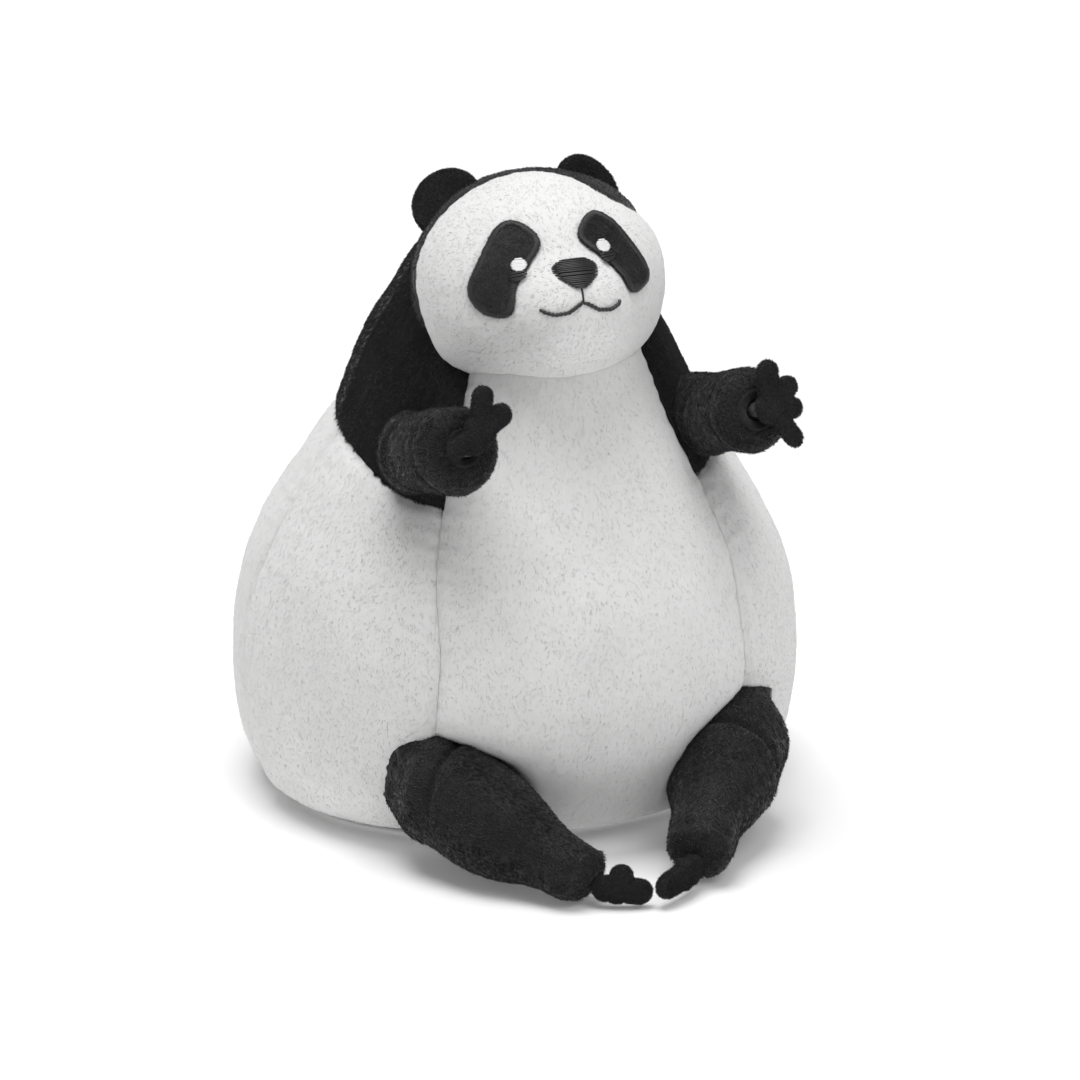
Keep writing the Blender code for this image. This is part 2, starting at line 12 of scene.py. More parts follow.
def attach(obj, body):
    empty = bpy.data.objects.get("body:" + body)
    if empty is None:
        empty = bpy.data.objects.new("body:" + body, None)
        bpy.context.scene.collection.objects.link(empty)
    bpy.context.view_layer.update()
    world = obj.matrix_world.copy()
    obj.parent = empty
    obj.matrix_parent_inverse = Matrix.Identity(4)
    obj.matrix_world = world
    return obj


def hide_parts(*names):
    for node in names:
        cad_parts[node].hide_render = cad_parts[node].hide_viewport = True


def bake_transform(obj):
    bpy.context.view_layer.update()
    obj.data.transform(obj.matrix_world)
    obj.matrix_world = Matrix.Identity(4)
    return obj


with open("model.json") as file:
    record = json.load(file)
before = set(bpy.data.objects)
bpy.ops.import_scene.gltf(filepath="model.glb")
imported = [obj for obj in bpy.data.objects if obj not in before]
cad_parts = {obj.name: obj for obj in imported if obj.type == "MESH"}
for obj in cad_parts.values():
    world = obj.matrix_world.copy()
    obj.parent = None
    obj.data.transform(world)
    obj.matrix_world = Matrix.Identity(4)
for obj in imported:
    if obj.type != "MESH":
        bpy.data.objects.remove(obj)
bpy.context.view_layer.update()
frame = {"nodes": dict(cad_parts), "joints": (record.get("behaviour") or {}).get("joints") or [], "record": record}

MM = 0.001
JOINTS = {joint["name"]: joint for joint in frame["joints"]}
AXIS_Y = frame["record"]["mounts"][0]["pos_m"][1]
SIDES = (("right", -1), ("left", 1))

# Torso: height of each level, its half width, and its reach to the front and to the back of the axis
LEVELS = MM * np.array(
    [
        (0, 55, 40, 55),
        (3.5, 61, 50, 61),
        (12, 65.4, 59.5, 65.4),
        (22, 67.1, 65, 68),
        (36, 68, 67.2, 69.2),
        (52, 65.8, 66.4, 66),
        (68, 61, 62, 60),
        (84, 53, 54.5, 51.5),
        (100, 44.8, 47, 42.7),
        (114, 38.6, 41.5, 35.7),
        (126, 32.4, 36.5, 29.2),
        (138, 25, 26, 22.7),
        (147, 15.5, 15, 15.5),
        (151.5, 4, 4, 4),
    ]
)
BASE_TOP, BELLY_TOP, CROWN_TOP = 2 * MM, 128 * MM, 150.5 * MM
YOKE_FRONT, YOKE_BACK = 88 * MM, 96 * MM
BELLY_HIP, BELLY_NECK, BACK_SEAM = (math.radians(a) for a in (37.5, 42, 98))
STITCH_PITCH, STITCH_REACH, MEAN_RADIUS = 2.9 * MM, 0.8 * MM, 66 * MM

# Head: its size, the seam round the face, which comes forward below the left ear, and the muzzle and cheeks
HEAD = np.array(JOINTS["head_turn"]["pos_m"])
HEAD_RADIUS, HEAD_HALF = 30.8 * MM, 26 * MM
FACE_SCALE = 29 * MM
FACE_SEAM = math.radians(100)
SEAM_AHEAD, EAR_SIDE, SEAM_SPREAD = (math.radians(a) for a in (30, 48, 26))
MUZZLE_RISE, MUZZLE_SPREAD = 6.5 * MM, 13 * MM
JOWL = {"right": 2.2, "left": 1.2}  # how proud each cheek stands, in millimetres
EYE_SHIFT = {"right": -0.9 * MM, "left": -2.6 * MM}
LAYER = 1.2 * MM

# Length, width and rise of a tuft of each cloth
PILES = {
    "white_plush": (0.8 * MM, 0.13 * MM, 0.2),
    "black_plush": (1.25 * MM, 0.24 * MM, 0.5),
    "eye_plush": (0.9 * MM, 0.2 * MM, 0.5),
    "black_felt": (0.8 * MM, 0.2 * MM, 0.9),
}


# ---------------- small tools


def unit(v):
    v = np.asarray(v, float)
    return v / np.maximum(np.linalg.norm(v, axis=-1, keepdims=True), 1e-12)


def smooth(x, low, high):
    t = np.clip((np.asarray(x, float) - low) / (high - low), 0, 1)
    return t * t * (3 - 2 * t)


def mix(a, b, share):
    return a + (b - a) * share


def noise(points, size, seed):
    """Smooth noise from -1 to 1 at each point, with lumps about as large as size."""
    q = np.asarray(points, float) / size + 1000
    cell = np.floor(q).astype(np.int64)
    f = q - cell
    f = f * f * (3 - 2 * f)
    total = np.zeros(q.shape[:-1])
    for k in range(8):
        corner = np.array((k & 1, k >> 1 & 1, k >> 2 & 1))
        c = cell + corner
        h = (c[..., 0] * 73856093) ^ (c[..., 1] * 19349663) ^ (c[..., 2] * 83492791) ^ (seed * 7919 + 1013)
        h = (h ^ (h >> 13)) * 1274126177 & 0xFFFFFFFF
        h = (h ^ (h >> 15)) * 2246822519 & 0xFFFFFFFF
        weight = np.prod(np.where(corner == 1, f, 1 - f), axis=-1)
        total += weight * ((h & 0xFFFFFF) / 0x7FFFFF - 1)
    return total


def hill(x, wide, y=0, tall=1):
    """A smooth hill, 1 high where x and y are 0."""
    return np.exp(-((x / wide) ** 2) - (y / tall) ** 2)


def above_floor(points, height):
    """The same points, with any that are lower than height raised to it."""
    points[..., 2] = np.maximum(points[..., 2], height)
    return points


def level(value):
    """A seam that keeps one height, or one angle, along its whole length."""
    return lambda along: value + 0 * along


def spline(at, knots, values):
    slopes = np.gradient(values, knots)
    i = np.clip(np.searchsorted(knots, at) - 1, 0, len(knots) - 2)
    span = knots[i + 1] - knots[i]
    t = np.clip((at - knots[i]) / span, 0, 1)
    a, b = values[i], values[i + 1]
    return (
        a * (2 * t**3 - 3 * t**2 + 1)
        + b * (3 * t**2 - 2 * t**3)
        + span * slopes[i] * (t**3 - 2 * t**2 + t)
        + span * slopes[i + 1] * (t**3 - t**2)
    )


def surface_normals(grid, outward, wrap=False):
    """Normals of a grid of points, turned to the side that outward points to."""
    if wrap:
        padded = np.concatenate([grid[:, -1:], grid, grid[:, :1]], axis=1)
        across = (padded[:, 2:] - padded[:, :-2]) / 2
    else:
        across = np.gradient(grid, axis=1)
    along = np.gradient(grid, axis=0)
    normals = unit(np.cross(across, along))
    sign = np.sign(np.sum(normals * outward, axis=-1, keepdims=True))
    return normals * np.where(sign == 0, 1, sign)


def shell(outer, inner, keep=None, wrap=False, caps=(False, False)):
    """One closed sheet between two grids. Only the kept cells are made, and walls close every open edge."""
    rows, cols = outer.shape[:2]
    wide = cols if wrap else cols - 1
    keep = np.ones((rows - 1, wide), bool) if keep is None else keep
    index = np.arange(rows * cols).reshape(rows, cols)
    right = np.roll(index, -1, axis=1)
    a, b = index[:-1, :wide], right[:-1, :wide]
    c, d = right[1:, :wide], index[1:, :wide]
    count = rows * cols
    quads = [np.stack([a, b, c, d], -1)[keep], (np.stack([a, d, c, b], -1) + count)[keep]]
    open_edge = {
        "low": keep & ~np.vstack([np.zeros((1, wide), bool), keep[:-1]]),
        "high": keep & ~np.vstack([keep[1:], np.zeros((1, wide), bool)]),
    }
    if caps[0]:
        open_edge["low"][0] = False
    if caps[1]:
        open_edge["high"][-1] = False
    if wrap:
        before, after = np.roll(keep, 1, axis=1), np.roll(keep, -1, axis=1)
    else:
        edge = np.zeros((rows - 1, 1), bool)
        before, after = np.hstack([edge, keep[:, :-1]]), np.hstack([keep[:, 1:], edge])
    open_edge["left"], open_edge["right"] = keep & ~before, keep & ~after
    pairs = {"low": (a, b), "right": (b, c), "high": (c, d), "left": (d, a)}
    for side, (p, q) in pairs.items():
        mask = open_edge[side]
        p, q = p[mask], q[mask]
        quads.append(np.stack([q, p, p + count, q + count], -1))
    points = np.concatenate([outer.reshape(-1, 3), inner.reshape(-1, 3)])
    quads = np.concatenate(quads)
    triangles = []
    for ring, wanted, turn in ((index[0], caps[0], False), (index[-1], caps[1], True)):
        if not wanted:
            continue
        for shift, grid in ((0, outer), (count, inner)):
            row = grid.reshape(-1, 3)[ring]
            middle = len(points)
            points = np.concatenate([points, row.mean(axis=0, keepdims=True)])
            around = np.roll(ring, -1)
            fan = np.stack([ring + shift, np.full(len(ring), middle), around + shift], -1)
            triangles.append(fan[:, ::-1] if turn != (shift > 0) else fan)
    i, j = [int(k[len(k) // 2]) for k in np.nonzero(keep)]
    cell = outer.reshape(-1, 3)[[index[i, j], right[i, j], index[i + 1, j]]]
    facing = np.dot(np.cross(cell[1] - cell[0], cell[2] - cell[0]), (outer - inner)[i, j])
    if facing < 0:
        quads = quads[:, ::-1]
        triangles = [t[:, ::-1] for t in triangles]
    return points, [quads, *triangles]


def disc(outer, inner):
    """A closed round sheet between two grids whose first rows are small rings at its middle."""
    return shell(outer, inner, wrap=True, caps=(True, False))


def make(name, parts, look):
    """One mesh object from several (points, [faces of equal size, ...]) parts, without its unused points.
    Tufts and other triangles are flat shaded, and the rest is smooth."""
    points, flat, totals, start = [], [], [], 0
    for made, groups in parts:
        points.append(made)
        for faces in groups:
            if len(faces):
                flat.append((faces + start).reshape(-1))
                totals.append(np.full(len(faces), faces.shape[1]))
        start += len(made)
    points, flat, totals = np.concatenate(points), np.concatenate(flat), np.concatenate(totals)
    used, flat = np.unique(flat, return_inverse=True)
    points = points[used]
    mesh = bpy.data.meshes.new(name)
    mesh.vertices.add(len(points))
    mesh.vertices.foreach_set("co", points.astype(np.float32).reshape(-1))
    mesh.loops.add(len(flat))
    mesh.loops.foreach_set("vertex_index", flat.astype(np.int32).reshape(-1))
    mesh.polygons.add(len(totals))
    mesh.polygons.foreach_set("loop_start", np.concatenate([[0], np.cumsum(totals)[:-1]]).astype(np.int32))
    mesh.polygons.foreach_set("use_smooth", totals > 3)
    mesh.update(calc_edges=True)
    mesh.materials.append(look)
    made = bpy.data.objects.new(name, mesh)
    bpy.context.scene.collection.objects.link(made)
    return made


def dress(made, body, nodes=()):
    """Rides a piece on its body and hides the nodes that it stands for."""
    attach(made, body)
    if nodes:
        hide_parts(*nodes)


def pile(grid, normals, count, size, nap, seed, keep=None, wrap=False, wild=0.35):
    """Tufts of pile as thin closed spikes, rooted on a grid and leaning along the nap."""
    length, width, rise = size
    rng = np.random.default_rng(seed)
    rows, cols = grid.shape[:2]
    wide = cols if wrap else cols - 1
    after = np.roll(grid, -1, axis=1)[:, :wide]
    here = grid[:, :wide]
    area = np.linalg.norm(np.cross(after[:-1] - here[:-1], here[1:] - here[:-1]), axis=-1)
    if keep is not None:
        area = area * keep
    chance = np.cumsum(area.reshape(-1))
    pick = np.searchsorted(chance, rng.random(count) * chance[-1])
    i, j = pick // wide, pick % wide
    k = (j + 1) % cols
    u, v = rng.random((2, count, 1))

    def at(field):
        low, high = mix(field[i, j], field[i, k], u), mix(field[i + 1, j], field[i + 1, k], u)
        return mix(low, high, v)

    root, normal = at(grid), unit(at(normals))
    lie = np.broadcast_to(nap, root.shape) if np.ndim(nap) == 1 else at(nap)
    lie = lie + wild * rng.normal(size=root.shape)
    swirl = np.stack([noise(root, 9 * MM, seed + s) for s in range(3)], -1)
    lie = lie + 0.5 * swirl
    lie = unit(lie - normal * np.sum(lie * normal, axis=-1, keepdims=True))
    tall = rise * (0.7 + 0.6 * rng.random((count, 1)))
    reach = unit(lie + normal * tall)
    beside = np.cross(normal, lie)
    size = length * (0.7 + 0.6 * rng.random((count, 1)))
    half = width * (0.35 + 0.3 * rng.random((count, 1)))
    root = root - normal * width / 2
    corners = [root + beside * half, root - beside * half, root + normal * half * 1.4, root + reach * size]
    points = np.stack(corners, axis=1).reshape(-1, 3)
    base = np.arange(count)[:, None] * 4
    faces = np.concatenate([base + f for f in ((0, 2, 3), (2, 1, 3), (1, 0, 3), (0, 1, 2))])
    return points, [faces]


def tube(path, radius, sides=6, taper=True):
    """A closed thread along a path of points."""
    path = np.asarray(path, float)
    along = unit(np.gradient(path, axis=0))
    up = np.array((0.31, 0.2, 0.93))
    side = unit(np.cross(along, up))
    top = np.cross(side, along)
    size = np.full(len(path), radius)
    if taper:
        size[0] = size[-1] = radius * 0.45
    turns = np.arange(sides) * 2 * math.pi / sides
    ring = side[:, None] * np.cos(turns)[:, None] + top[:, None] * np.sin(turns)[:, None]
    points = (path[:, None] + ring * size[:, None, None]).reshape(-1, 3)
    index = np.arange(len(path) * sides).reshape(-1, sides)
    after = np.roll(index, -1, axis=1)
    quads = np.stack([index[:-1], after[:-1], after[1:], index[1:]], -1).reshape(-1, 4)
    ends = np.array([index[0][::-1], index[-1]])
    return points, [quads, ends]


# ---------------- materials


def add_node(tree, kind, **inputs):
    """A new shader node with these values on its inputs."""
    made = tree.nodes.new("ShaderNode" + kind)
    for name, value in inputs.items():
        made.inputs[name].default_value = value
    return made


def node_material(name, colour, roughness, sheen=0.0, sheen_tint=(1, 1, 1), specular=0.3, subsurface=0.0):
    made = bpy.data.materials.new(name)
    made.use_nodes = True
    shader = made.node_tree.nodes["Principled BSDF"]
    values = {
        "Base Color": (*colour, 1),
        "Roughness": roughness,
        "Specular IOR Level": specular,
        "Sheen Weight": sheen,
        "Sheen Roughness": 0.45,
        "Sheen Tint": (*sheen_tint, 1),
    }
    if subsurface:
        values["Subsurface Weight"] = subsurface
        values["Subsurface Radius"] = (1, 1, 1)
        values["Subsurface Scale"] = 0.8 * MM
    for key, value in values.items():
        shader.inputs[key].default_value = value
    return made, made.node_tree, shader


def add_noise(tree, scale, detail, stretch):
    """Noise on the object's own coordinates, drawn out along Z when stretch is under 1."""
    place, made = add_node(tree, "TexCoord"), add_node(tree, "TexNoise", Scale=scale, Detail=detail)
    mapping = add_node(tree, "Mapping", Scale=(1, 1, stretch))
    tree.links.new(place.outputs["Object"], mapping.inputs["Vector"])
    tree.links.new(mapping.outputs["Vector"], made.inputs["Vector"])
    return made.outputs["Fac"]


def vary_colour(tree, shader, shades, sizes, stretch):
    """Base colour between two shades, in broad patches with fine fibres over them."""
    add, half, ramp = (add_node(tree, kind) for kind in ("Math", "Math", "ValToRGB"))
    add.operation, half.operation = "ADD", "MULTIPLY"
    half.inputs[1].default_value = 0.5
    for socket, size, detail in zip(add.inputs, sizes, (3, 2)):
        tree.links.new(add_noise(tree, size, detail, stretch), socket)
    for stop, position, shade in zip(ramp.color_ramp.elements, (0.25, 0.75), shades):
        stop.position = position
        stop.color = (*shade, 1)
    tree.links.new(add.outputs[0], half.inputs[0])
    tree.links.new(half.outputs[0], ramp.inputs["Fac"])
    tree.links.new(ramp.outputs["Color"], shader.inputs["Base Color"])


def cloth_look(name, shades, sizes, stretch, bump, roughness, **sheen):
    """Cloth or thread in two shades with a fine bump: its scale, depth in mm, stretch and strength."""
    made, tree, shader = node_material(name, shades[0], roughness, **sheen)
    vary_colour(tree, shader, shades, sizes, stretch)
    scale, depth, bump_stretch, strength = bump
    relief = add_node(tree, "Bump", Strength=strength, Distance=depth * MM)
    tree.links.new(add_noise(tree, scale, 3, bump_stretch), relief.inputs["Height"])
    tree.links.new(relief.outputs["Normal"], shader.inputs["Normal"])
    return made


def grey(value):
    return (value, value, value)


LOOKS = {
    name: cloth_look(name, *look, **sheen)
    for name, look, sheen in (
        (
            "white_plush",
            (((0.76, 0.76, 0.755), (0.84, 0.84, 0.835)), (90, 800), 0.6, (900, 0.12, 0.45, 0.4), 0.95),
            {"sheen": 0.1, "specular": 0.1, "subsurface": 0.5},
        ),
        (
            "black_plush",
            (((0.003, 0.003, 0.0035), (0.014, 0.014, 0.015)), (90, 900), 1, (1100, 0.3, 0.5, 0.6), 0.7),
            {"sheen": 0.5, "sheen_tint": (0.6, 0.6, 0.61)},
        ),
        (
            "eye_plush",
            ((grey(0.012), grey(0.05)), (300, 1400), 1, (1300, 0.3, 0.6, 0.6), 0.75),
            {"sheen": 0.5, "sheen_tint": grey(0.6)},
        ),
        (
            "black_felt",
            (((0.01, 0.01, 0.011), (0.034, 0.034, 0.036)), (240, 1500), 1, (1600, 0.2, 1, 0.6), 0.9),
            {"sheen": 0.4, "sheen_tint": (0.5, 0.5, 0.52), "specular": 0.2},
        ),
        (
            "black_thread",
            ((grey(0.012), (0.034, 0.034, 0.035)), (500, 2500), 1, (3000, 0.08, 1, 0.5), 0.42),
            {"specular": 0.55},
        ),
        (
            "white_thread",
            ((grey(0.88), grey(0.95)), (500, 2500), 1, (3000, 0.08, 1, 0.4), 0.45),
            {"sheen": 0.1, "specular": 0.5},
        ),
        (
            "stuffing",
            (((0.7, 0.69, 0.66), (0.82, 0.81, 0.78)), (120, 700), 1, (400, 1.0, 1, 0.6), 1.0),
            {"sheen": 0.3},
        ),
    )
}


# ---------------- torso


def torso_skin(angle, height):
    """Points on the torso's outside. The angle runs from the front towards the panda's left."""
    half, front, back = (spline(height, LEVELS[:, 0], LEVELS[:, k]) for k in (1, 2, 3))
    share = smooth(np.cos(angle), -0.12, 0.12)
    reach = mix(back, front, share)
    return np.stack([half * np.sin(angle), AXIS_Y - reach * np.cos(angle), height + 0 * angle], -1)


def torso_normal(angle, height):
    step = 0.3 * MM
    around = torso_skin(angle + 0.01, height) - torso_skin(angle - 0.01, height)
    above = torso_skin(angle, height + step) - torso_skin(angle, height - step)
    return unit(np.cross(around, above))


def belly_seam(height):
    return mix(BELLY_HIP, BELLY_NECK, smooth(height, 50 * MM, YOKE_FRONT))


def yoke_seam(angle):
    return mix(YOKE_FRONT, YOKE_BACK, smooth(np.abs(angle), BELLY_NECK, BACK_SEAM))


def inflate(grid, pins, frames=20, start_inset=0.4 * MM):
    """Cloth under pressure: a tube of cloth swells between its pinned points.
    Returns how far each point moved along its normal."""
    rows, cols = grid.shape[:2]
    outward = grid - grid.mean(axis=(0, 1))
    normals = surface_normals(grid, outward, wrap=True)
    start = grid - normals * start_inset
    index = np.arange(rows * cols).reshape(rows, cols)
    after = np.roll(index, -1, axis=1)
    quads = np.stack([index[:-1], after[:-1], after[1:], index[1:]], -1).reshape(-1, 4)
    ends = [tuple(index[0][::-1]), tuple(index[-1])]
    mesh = bpy.data.meshes.new("cloth")
    mesh.from_pydata(start.reshape(-1, 3).tolist(), [], [tuple(q) for q in quads.tolist()] + ends)
    cloth = bpy.data.objects.new("cloth", mesh)
    bpy.context.scene.collection.objects.link(cloth)
    group = cloth.vertex_groups.new(name="seams")
    group.add([int(k) for k in index.reshape(-1)[pins.reshape(-1)]], 1.0, "REPLACE")
    made = cloth.modifiers.new("cloth", "CLOTH")
    settings = made.settings
    settings.use_pressure = True
    settings.uniform_pressure_force = 4
    settings.mass = 0.05
    settings.tension_stiffness = settings.compression_stiffness = 8
    settings.shear_stiffness = 4
    settings.bending_stiffness = 0.4
    settings.vertex_group_mass = "seams"
    settings.effector_weights.gravity = 0
    made.point_cache.frame_start, made.point_cache.frame_end = 1, frames
    for number in range(1, frames + 1):
        bpy.context.scene.frame_set(number)
    graph = bpy.context.evaluated_depsgraph_get()
    final = cloth.evaluated_get(graph).to_mesh()
    moved = np.empty(rows * cols * 3, np.float32)
    final.vertices.foreach_get("co", moved)
    bpy.context.scene.frame_set(1)
    bpy.data.objects.remove(cloth, do_unlink=True)
    shift = (moved.reshape(rows, cols, 3) - start).astype(float)
    return np.sum(shift * normals, axis=-1)


PUFF_ROWS, PUFF_COLS, PUFF_TOP = 30, 72, 146 * MM
PUFF_DEPTH = 1.3 * MM
DRAWN_IN = 1.3 * MM


def torso_puff():
    """The torso's swelling on a grid of heights and angles: about 0 at the seams and 1 where it is
    fullest."""
    heights = np.linspace(BASE_TOP, PUFF_TOP, PUFF_ROWS)
    angles = np.arange(PUFF_COLS) * 2 * math.pi / PUFF_COLS
    angle, height = np.meshgrid(angles, heights)
    grid = torso_skin(angle, height)
    off = (angle + math.pi) % (2 * math.pi) - math.pi
    near_belly = np.abs(np.abs(off) - belly_seam(height)) < math.pi / PUFF_COLS
    near_back = np.abs(np.abs(off) - BACK_SEAM) < math.pi / PUFF_COLS
    near_yoke = (np.abs(height - yoke_seam(off)) < 2.5 * MM) & (np.abs(off) > belly_seam(height))
    pins = near_belly | near_back | near_yoke
    pins[[0, -1]] = True
    puff = inflate(grid, pins)
    for _ in range(5):
        puff = 0.5 * puff + 0.25 * (np.roll(puff, 1, axis=1) + np.roll(puff, -1, axis=1))
        puff[1:-1] = 0.5 * puff[1:-1] + 0.25 * (puff[:-2] + puff[2:])
    return np.clip(puff / max(np.percentile(puff, 97), 1e-6), -0.5, 1.1)


PUFF = torso_puff()


def puff_at(angle, height):
    """Smooth lookup in the swelling, which wraps round in its columns."""
    field = PUFF
    row = (height - BASE_TOP) / (PUFF_TOP - BASE_TOP) * (PUFF_ROWS - 1)
    col = angle / (2 * math.pi) * PUFF_COLS
    row = np.clip(row, 0, field.shape[0] - 1.001)
    i, j = np.floor(row).astype(int), np.floor(col).astype(int)
    u, v = row - i, col - j
    u, v = u * u * (3 - 2 * u), v * v * (3 - 2 * v)
    j, k = j % field.shape[1], (j + 1) % field.shape[1]
    i2 = np.minimum(i + 1, field.shape[0] - 1)
    return mix(mix(field[i, j], field[i, k], v), mix(field[i2, j], field[i2, k], v), u)


def drawn_in(height):
    """How far the torso is drawn in above its waist."""
    return DRAWN_IN * smooth(height, 76 * MM, 104 * MM)


# ---------------- limbs' lines

# Radius at each distance from the root, and how much stouter each limb gets towards its end
ARM_RADII = MM * np.array([(-30, 9.6), (0, 9.6), (8, 9.4), (16, 10.0), (25, 10.4)])
LEG_RADII = MM * np.array(
    [(-30, 13.6), (0, 13.8), (9, 13.6), (17, 12.8), (24, 11), (30, 8.8), (35, 7.6), (42, 7.2)]
)
STOUTER = {
    ("right", "arm"): 0,
    ("left", "arm"): -0.8 * MM,
    ("right", "leg"): 0,
    ("left", "leg"): 1.2 * MM,
}
SHIN_SAG = MM * np.array((0, -3.0, -1.3))  # the right shin's bow
LEG_HOLE, LEG_DENT = 7 * MM, 16 * MM


def limb_line(side, limb, joint):
    root = np.array(JOINTS[f"{side}_{limb}_swing"]["pos_m"])
    end = np.array(JOINTS[f"{side}_{joint}_bend"]["pos_m"])
    along = unit(end - root)
    return root, along, np.linalg.norm(end - root) - 2.6 * MM


ARMS = {side: limb_line(side, "arm", "hand") for side, _ in SIDES}
LEGS = {side: limb_line(side, "leg", "foot") for side, _ in SIDES}


def push_out(points, normals):
    """Cloth of the torso gives way to the legs: points inside a leg move to its surface."""
    for side, _ in SIDES:
        root, along, length = LEGS[side]
        rel = points - root
        s = rel @ along
        radial = rel - s[..., None] * along
        dist = np.linalg.norm(radial, axis=-1)
        radius = np.interp(np.clip(s, 0, length), LEG_RADII[:, 0], LEG_RADII[:, 1])
        inside = radius - 0.4 * MM - dist
        push = 0.5 * (inside + np.sqrt(inside**2 + (1.6 * MM) ** 2))
        push = push * smooth(s, -4 * MM, 3 * MM) * (1 - smooth(s, length - 2 * MM, length + 3 * MM))
        away = -normals
        toward = np.clip(np.sum(unit(radial) * away, axis=-1), 0.35, 1)
        points = points + away * (np.minimum(push / toward, 9 * MM))[..., None]
    return points


def seam_depth(distance, along, seed):
    """How far cloth dips at that distance from a seam, with puckers along it."""
    pucker = 0.5 + 0.5 * np.sin(2 * math.pi * along / (5.2 * MM) + 2.5 * np.sin(along / (7 * MM) + seed))
    crease = 1.25 * MM * hill(distance, 1.7 * MM)
    valley = 0.9 * MM * hill(distance, 7 * MM)
    ripple = 0.12 * MM * pucker * hill(distance, 3 * MM)
    return crease + valley * (0.85 + 0.15 * pucker) + ripple


def head_distance(points):
    """Distance from the head's centre, where 1 is the head's surface."""
    rel = (points - HEAD) / np.array((HEAD_RADIUS, HEAD_RADIUS, HEAD_HALF))
    return np.linalg.norm(rel, axis=-1)


def torso_piece(name, look, left, right, bottom, top, columns, rows, tufts, seams, seed):
    """A plush panel between two upright seams and two level ones. seams says which of its edges are sewn."""
    u = np.linspace(0, 1, columns)[None, :] * np.ones((rows, 1))
    v = np.linspace(0, 1, rows)[:, None] * np.ones((1, columns))
    height = mix(bottom(0 * u), top(0 * u), v)
    for _ in range(5):
        angle = mix(left(height), right(height), u)
        height = mix(bottom(angle), top(angle), v)
    base = torso_skin(angle, height)
    normals = torso_normal(angle, height)
    lift = PUFF_DEPTH * puff_at(angle, height) - drawn_in(height)
    lift += 0.55 * MM * noise(base, 17 * MM, seed) + 0.22 * MM * noise(base, 7 * MM, seed + 1)
    for line in LEGS.values():
        near = np.exp(-((np.linalg.norm(base - line[0], axis=-1) / LEG_DENT) ** 4))
        lift = mix(lift, -1.2 * MM, near)
    step_u = np.linalg.norm(np.gradient(base, axis=1), axis=-1)
    step_v = np.linalg.norm(np.gradient(base, axis=0), axis=-1)
    run_u, run_v = np.cumsum(step_u, axis=1), np.cumsum(step_v, axis=0)
    edges = (
        (run_u - run_u[:, :1], run_v),
        (run_u[:, -1:] - run_u, run_v),
        (run_v - run_v[:1], run_u),
        (run_v[-1:] - run_v, run_u),
    )
    for number, (sewn, (distance, along)) in enumerate(zip(seams, edges)):
        if sewn:
            lift = lift - seam_depth(distance, along, number)
    lift = lift + 0.07 * MM * noise(base, 1.6 * MM, seed + 2) + 0.05 * MM * noise(base, 0.8 * MM, seed + 3)
    outer = above_floor(push_out(base + normals * lift[..., None], normals), 0.3 * MM)
    facing = surface_normals(outer, normals)
    inner = above_floor(outer - normals * LAYER, 0.15 * MM)
    keep = head_distance(outer) > 0.93
    for line in LEGS.values():
        keep &= np.linalg.norm(outer - line[0], axis=-1) > LEG_HOLE
    keep = keep[:-1, :-1] & keep[1:, :-1] & keep[:-1, 1:] & keep[1:, 1:]
    clear = head_distance(outer)[:-1, :-1] > 1.02
    nap = unit(np.array((0, 0, -1)) - normals * (-normals[..., 2:]))
    body = shell(outer, inner, keep)
    fuzz = pile(outer, facing, tufts, PILES[look], nap, seed, keep=keep & clear)
    dress(make(name, [body, fuzz], LOOKS[look]), "torso", [f"{name}_panel"])


def build_torso():
    floor, crown, yoke_back = level(BASE_TOP), level(CROWN_TOP), level(YOKE_BACK)
    back, round_back = level(BACK_SEAM), level(2 * math.pi - BACK_SEAM)
    right_belly_seam = lambda height: -belly_seam(height)
    torso_piece(
        "belly", "white_plush", right_belly_seam, belly_seam, floor, level(BELLY_TOP),
        150, 200, 9000, (True, True, True, False), 11,
    )
    torso_piece(
        "back", "white_plush", back, round_back, floor, yoke_back,
        200, 130, 9000, (True, True, True, True), 23,
    )
    torso_piece(
        "upper_back", "black_plush", back, round_back, yoke_back, crown,
        130, 90, 24000, (False, False, True, False), 31,
    )
    for side, sign in SIDES:
        edges = (belly_seam, back) if sign > 0 else (level(-BACK_SEAM), right_belly_seam)
        torso_piece(
            f"{side}_side", "white_plush", *edges, floor, yoke_seam,
            140, 160, 8000, (True, True, True, True), 41 + sign,
        )
        torso_piece(
            f"{side}_shoulder", "black_plush", *edges, yoke_seam, crown,
            90, 90, 24000, (sign > 0, sign < 0, True, False), 51 + sign,
        )
    build_base()
    build_stitches()


def build_base():
    """The oval panel the panda sits on, with a rounded rim sewn under the body."""
    rings, sides = 40, 180
    angle = np.arange(sides) * 2 * math.pi / sides
    reach = torso_skin(angle, np.full(sides, 1.2 * MM))
    centre = np.array((0, AXIS_Y, 0))
    share = np.linspace(0.01, 1, rings)[:, None, None]
    low = centre + (reach - centre) * (1, 1, 0) * share * 0.985
    bulge = 0.9 * MM * smooth(share[..., 0], 0.93, 1.0) ** 2
    under = low.copy()
    rough = 0.05 * MM * (1 + noise(low, 3 * MM, 5)) * smooth(share[..., 0], 0.9, 0.97)
    under[..., 2] = 0.02 * MM + bulge + rough
    upper = low.copy()
    upper[..., 2] = 1.6 * MM
    made = make("base", [disc(under, upper)], LOOKS["white_plush"])
    dress(made, "torso", ["base_panel"])


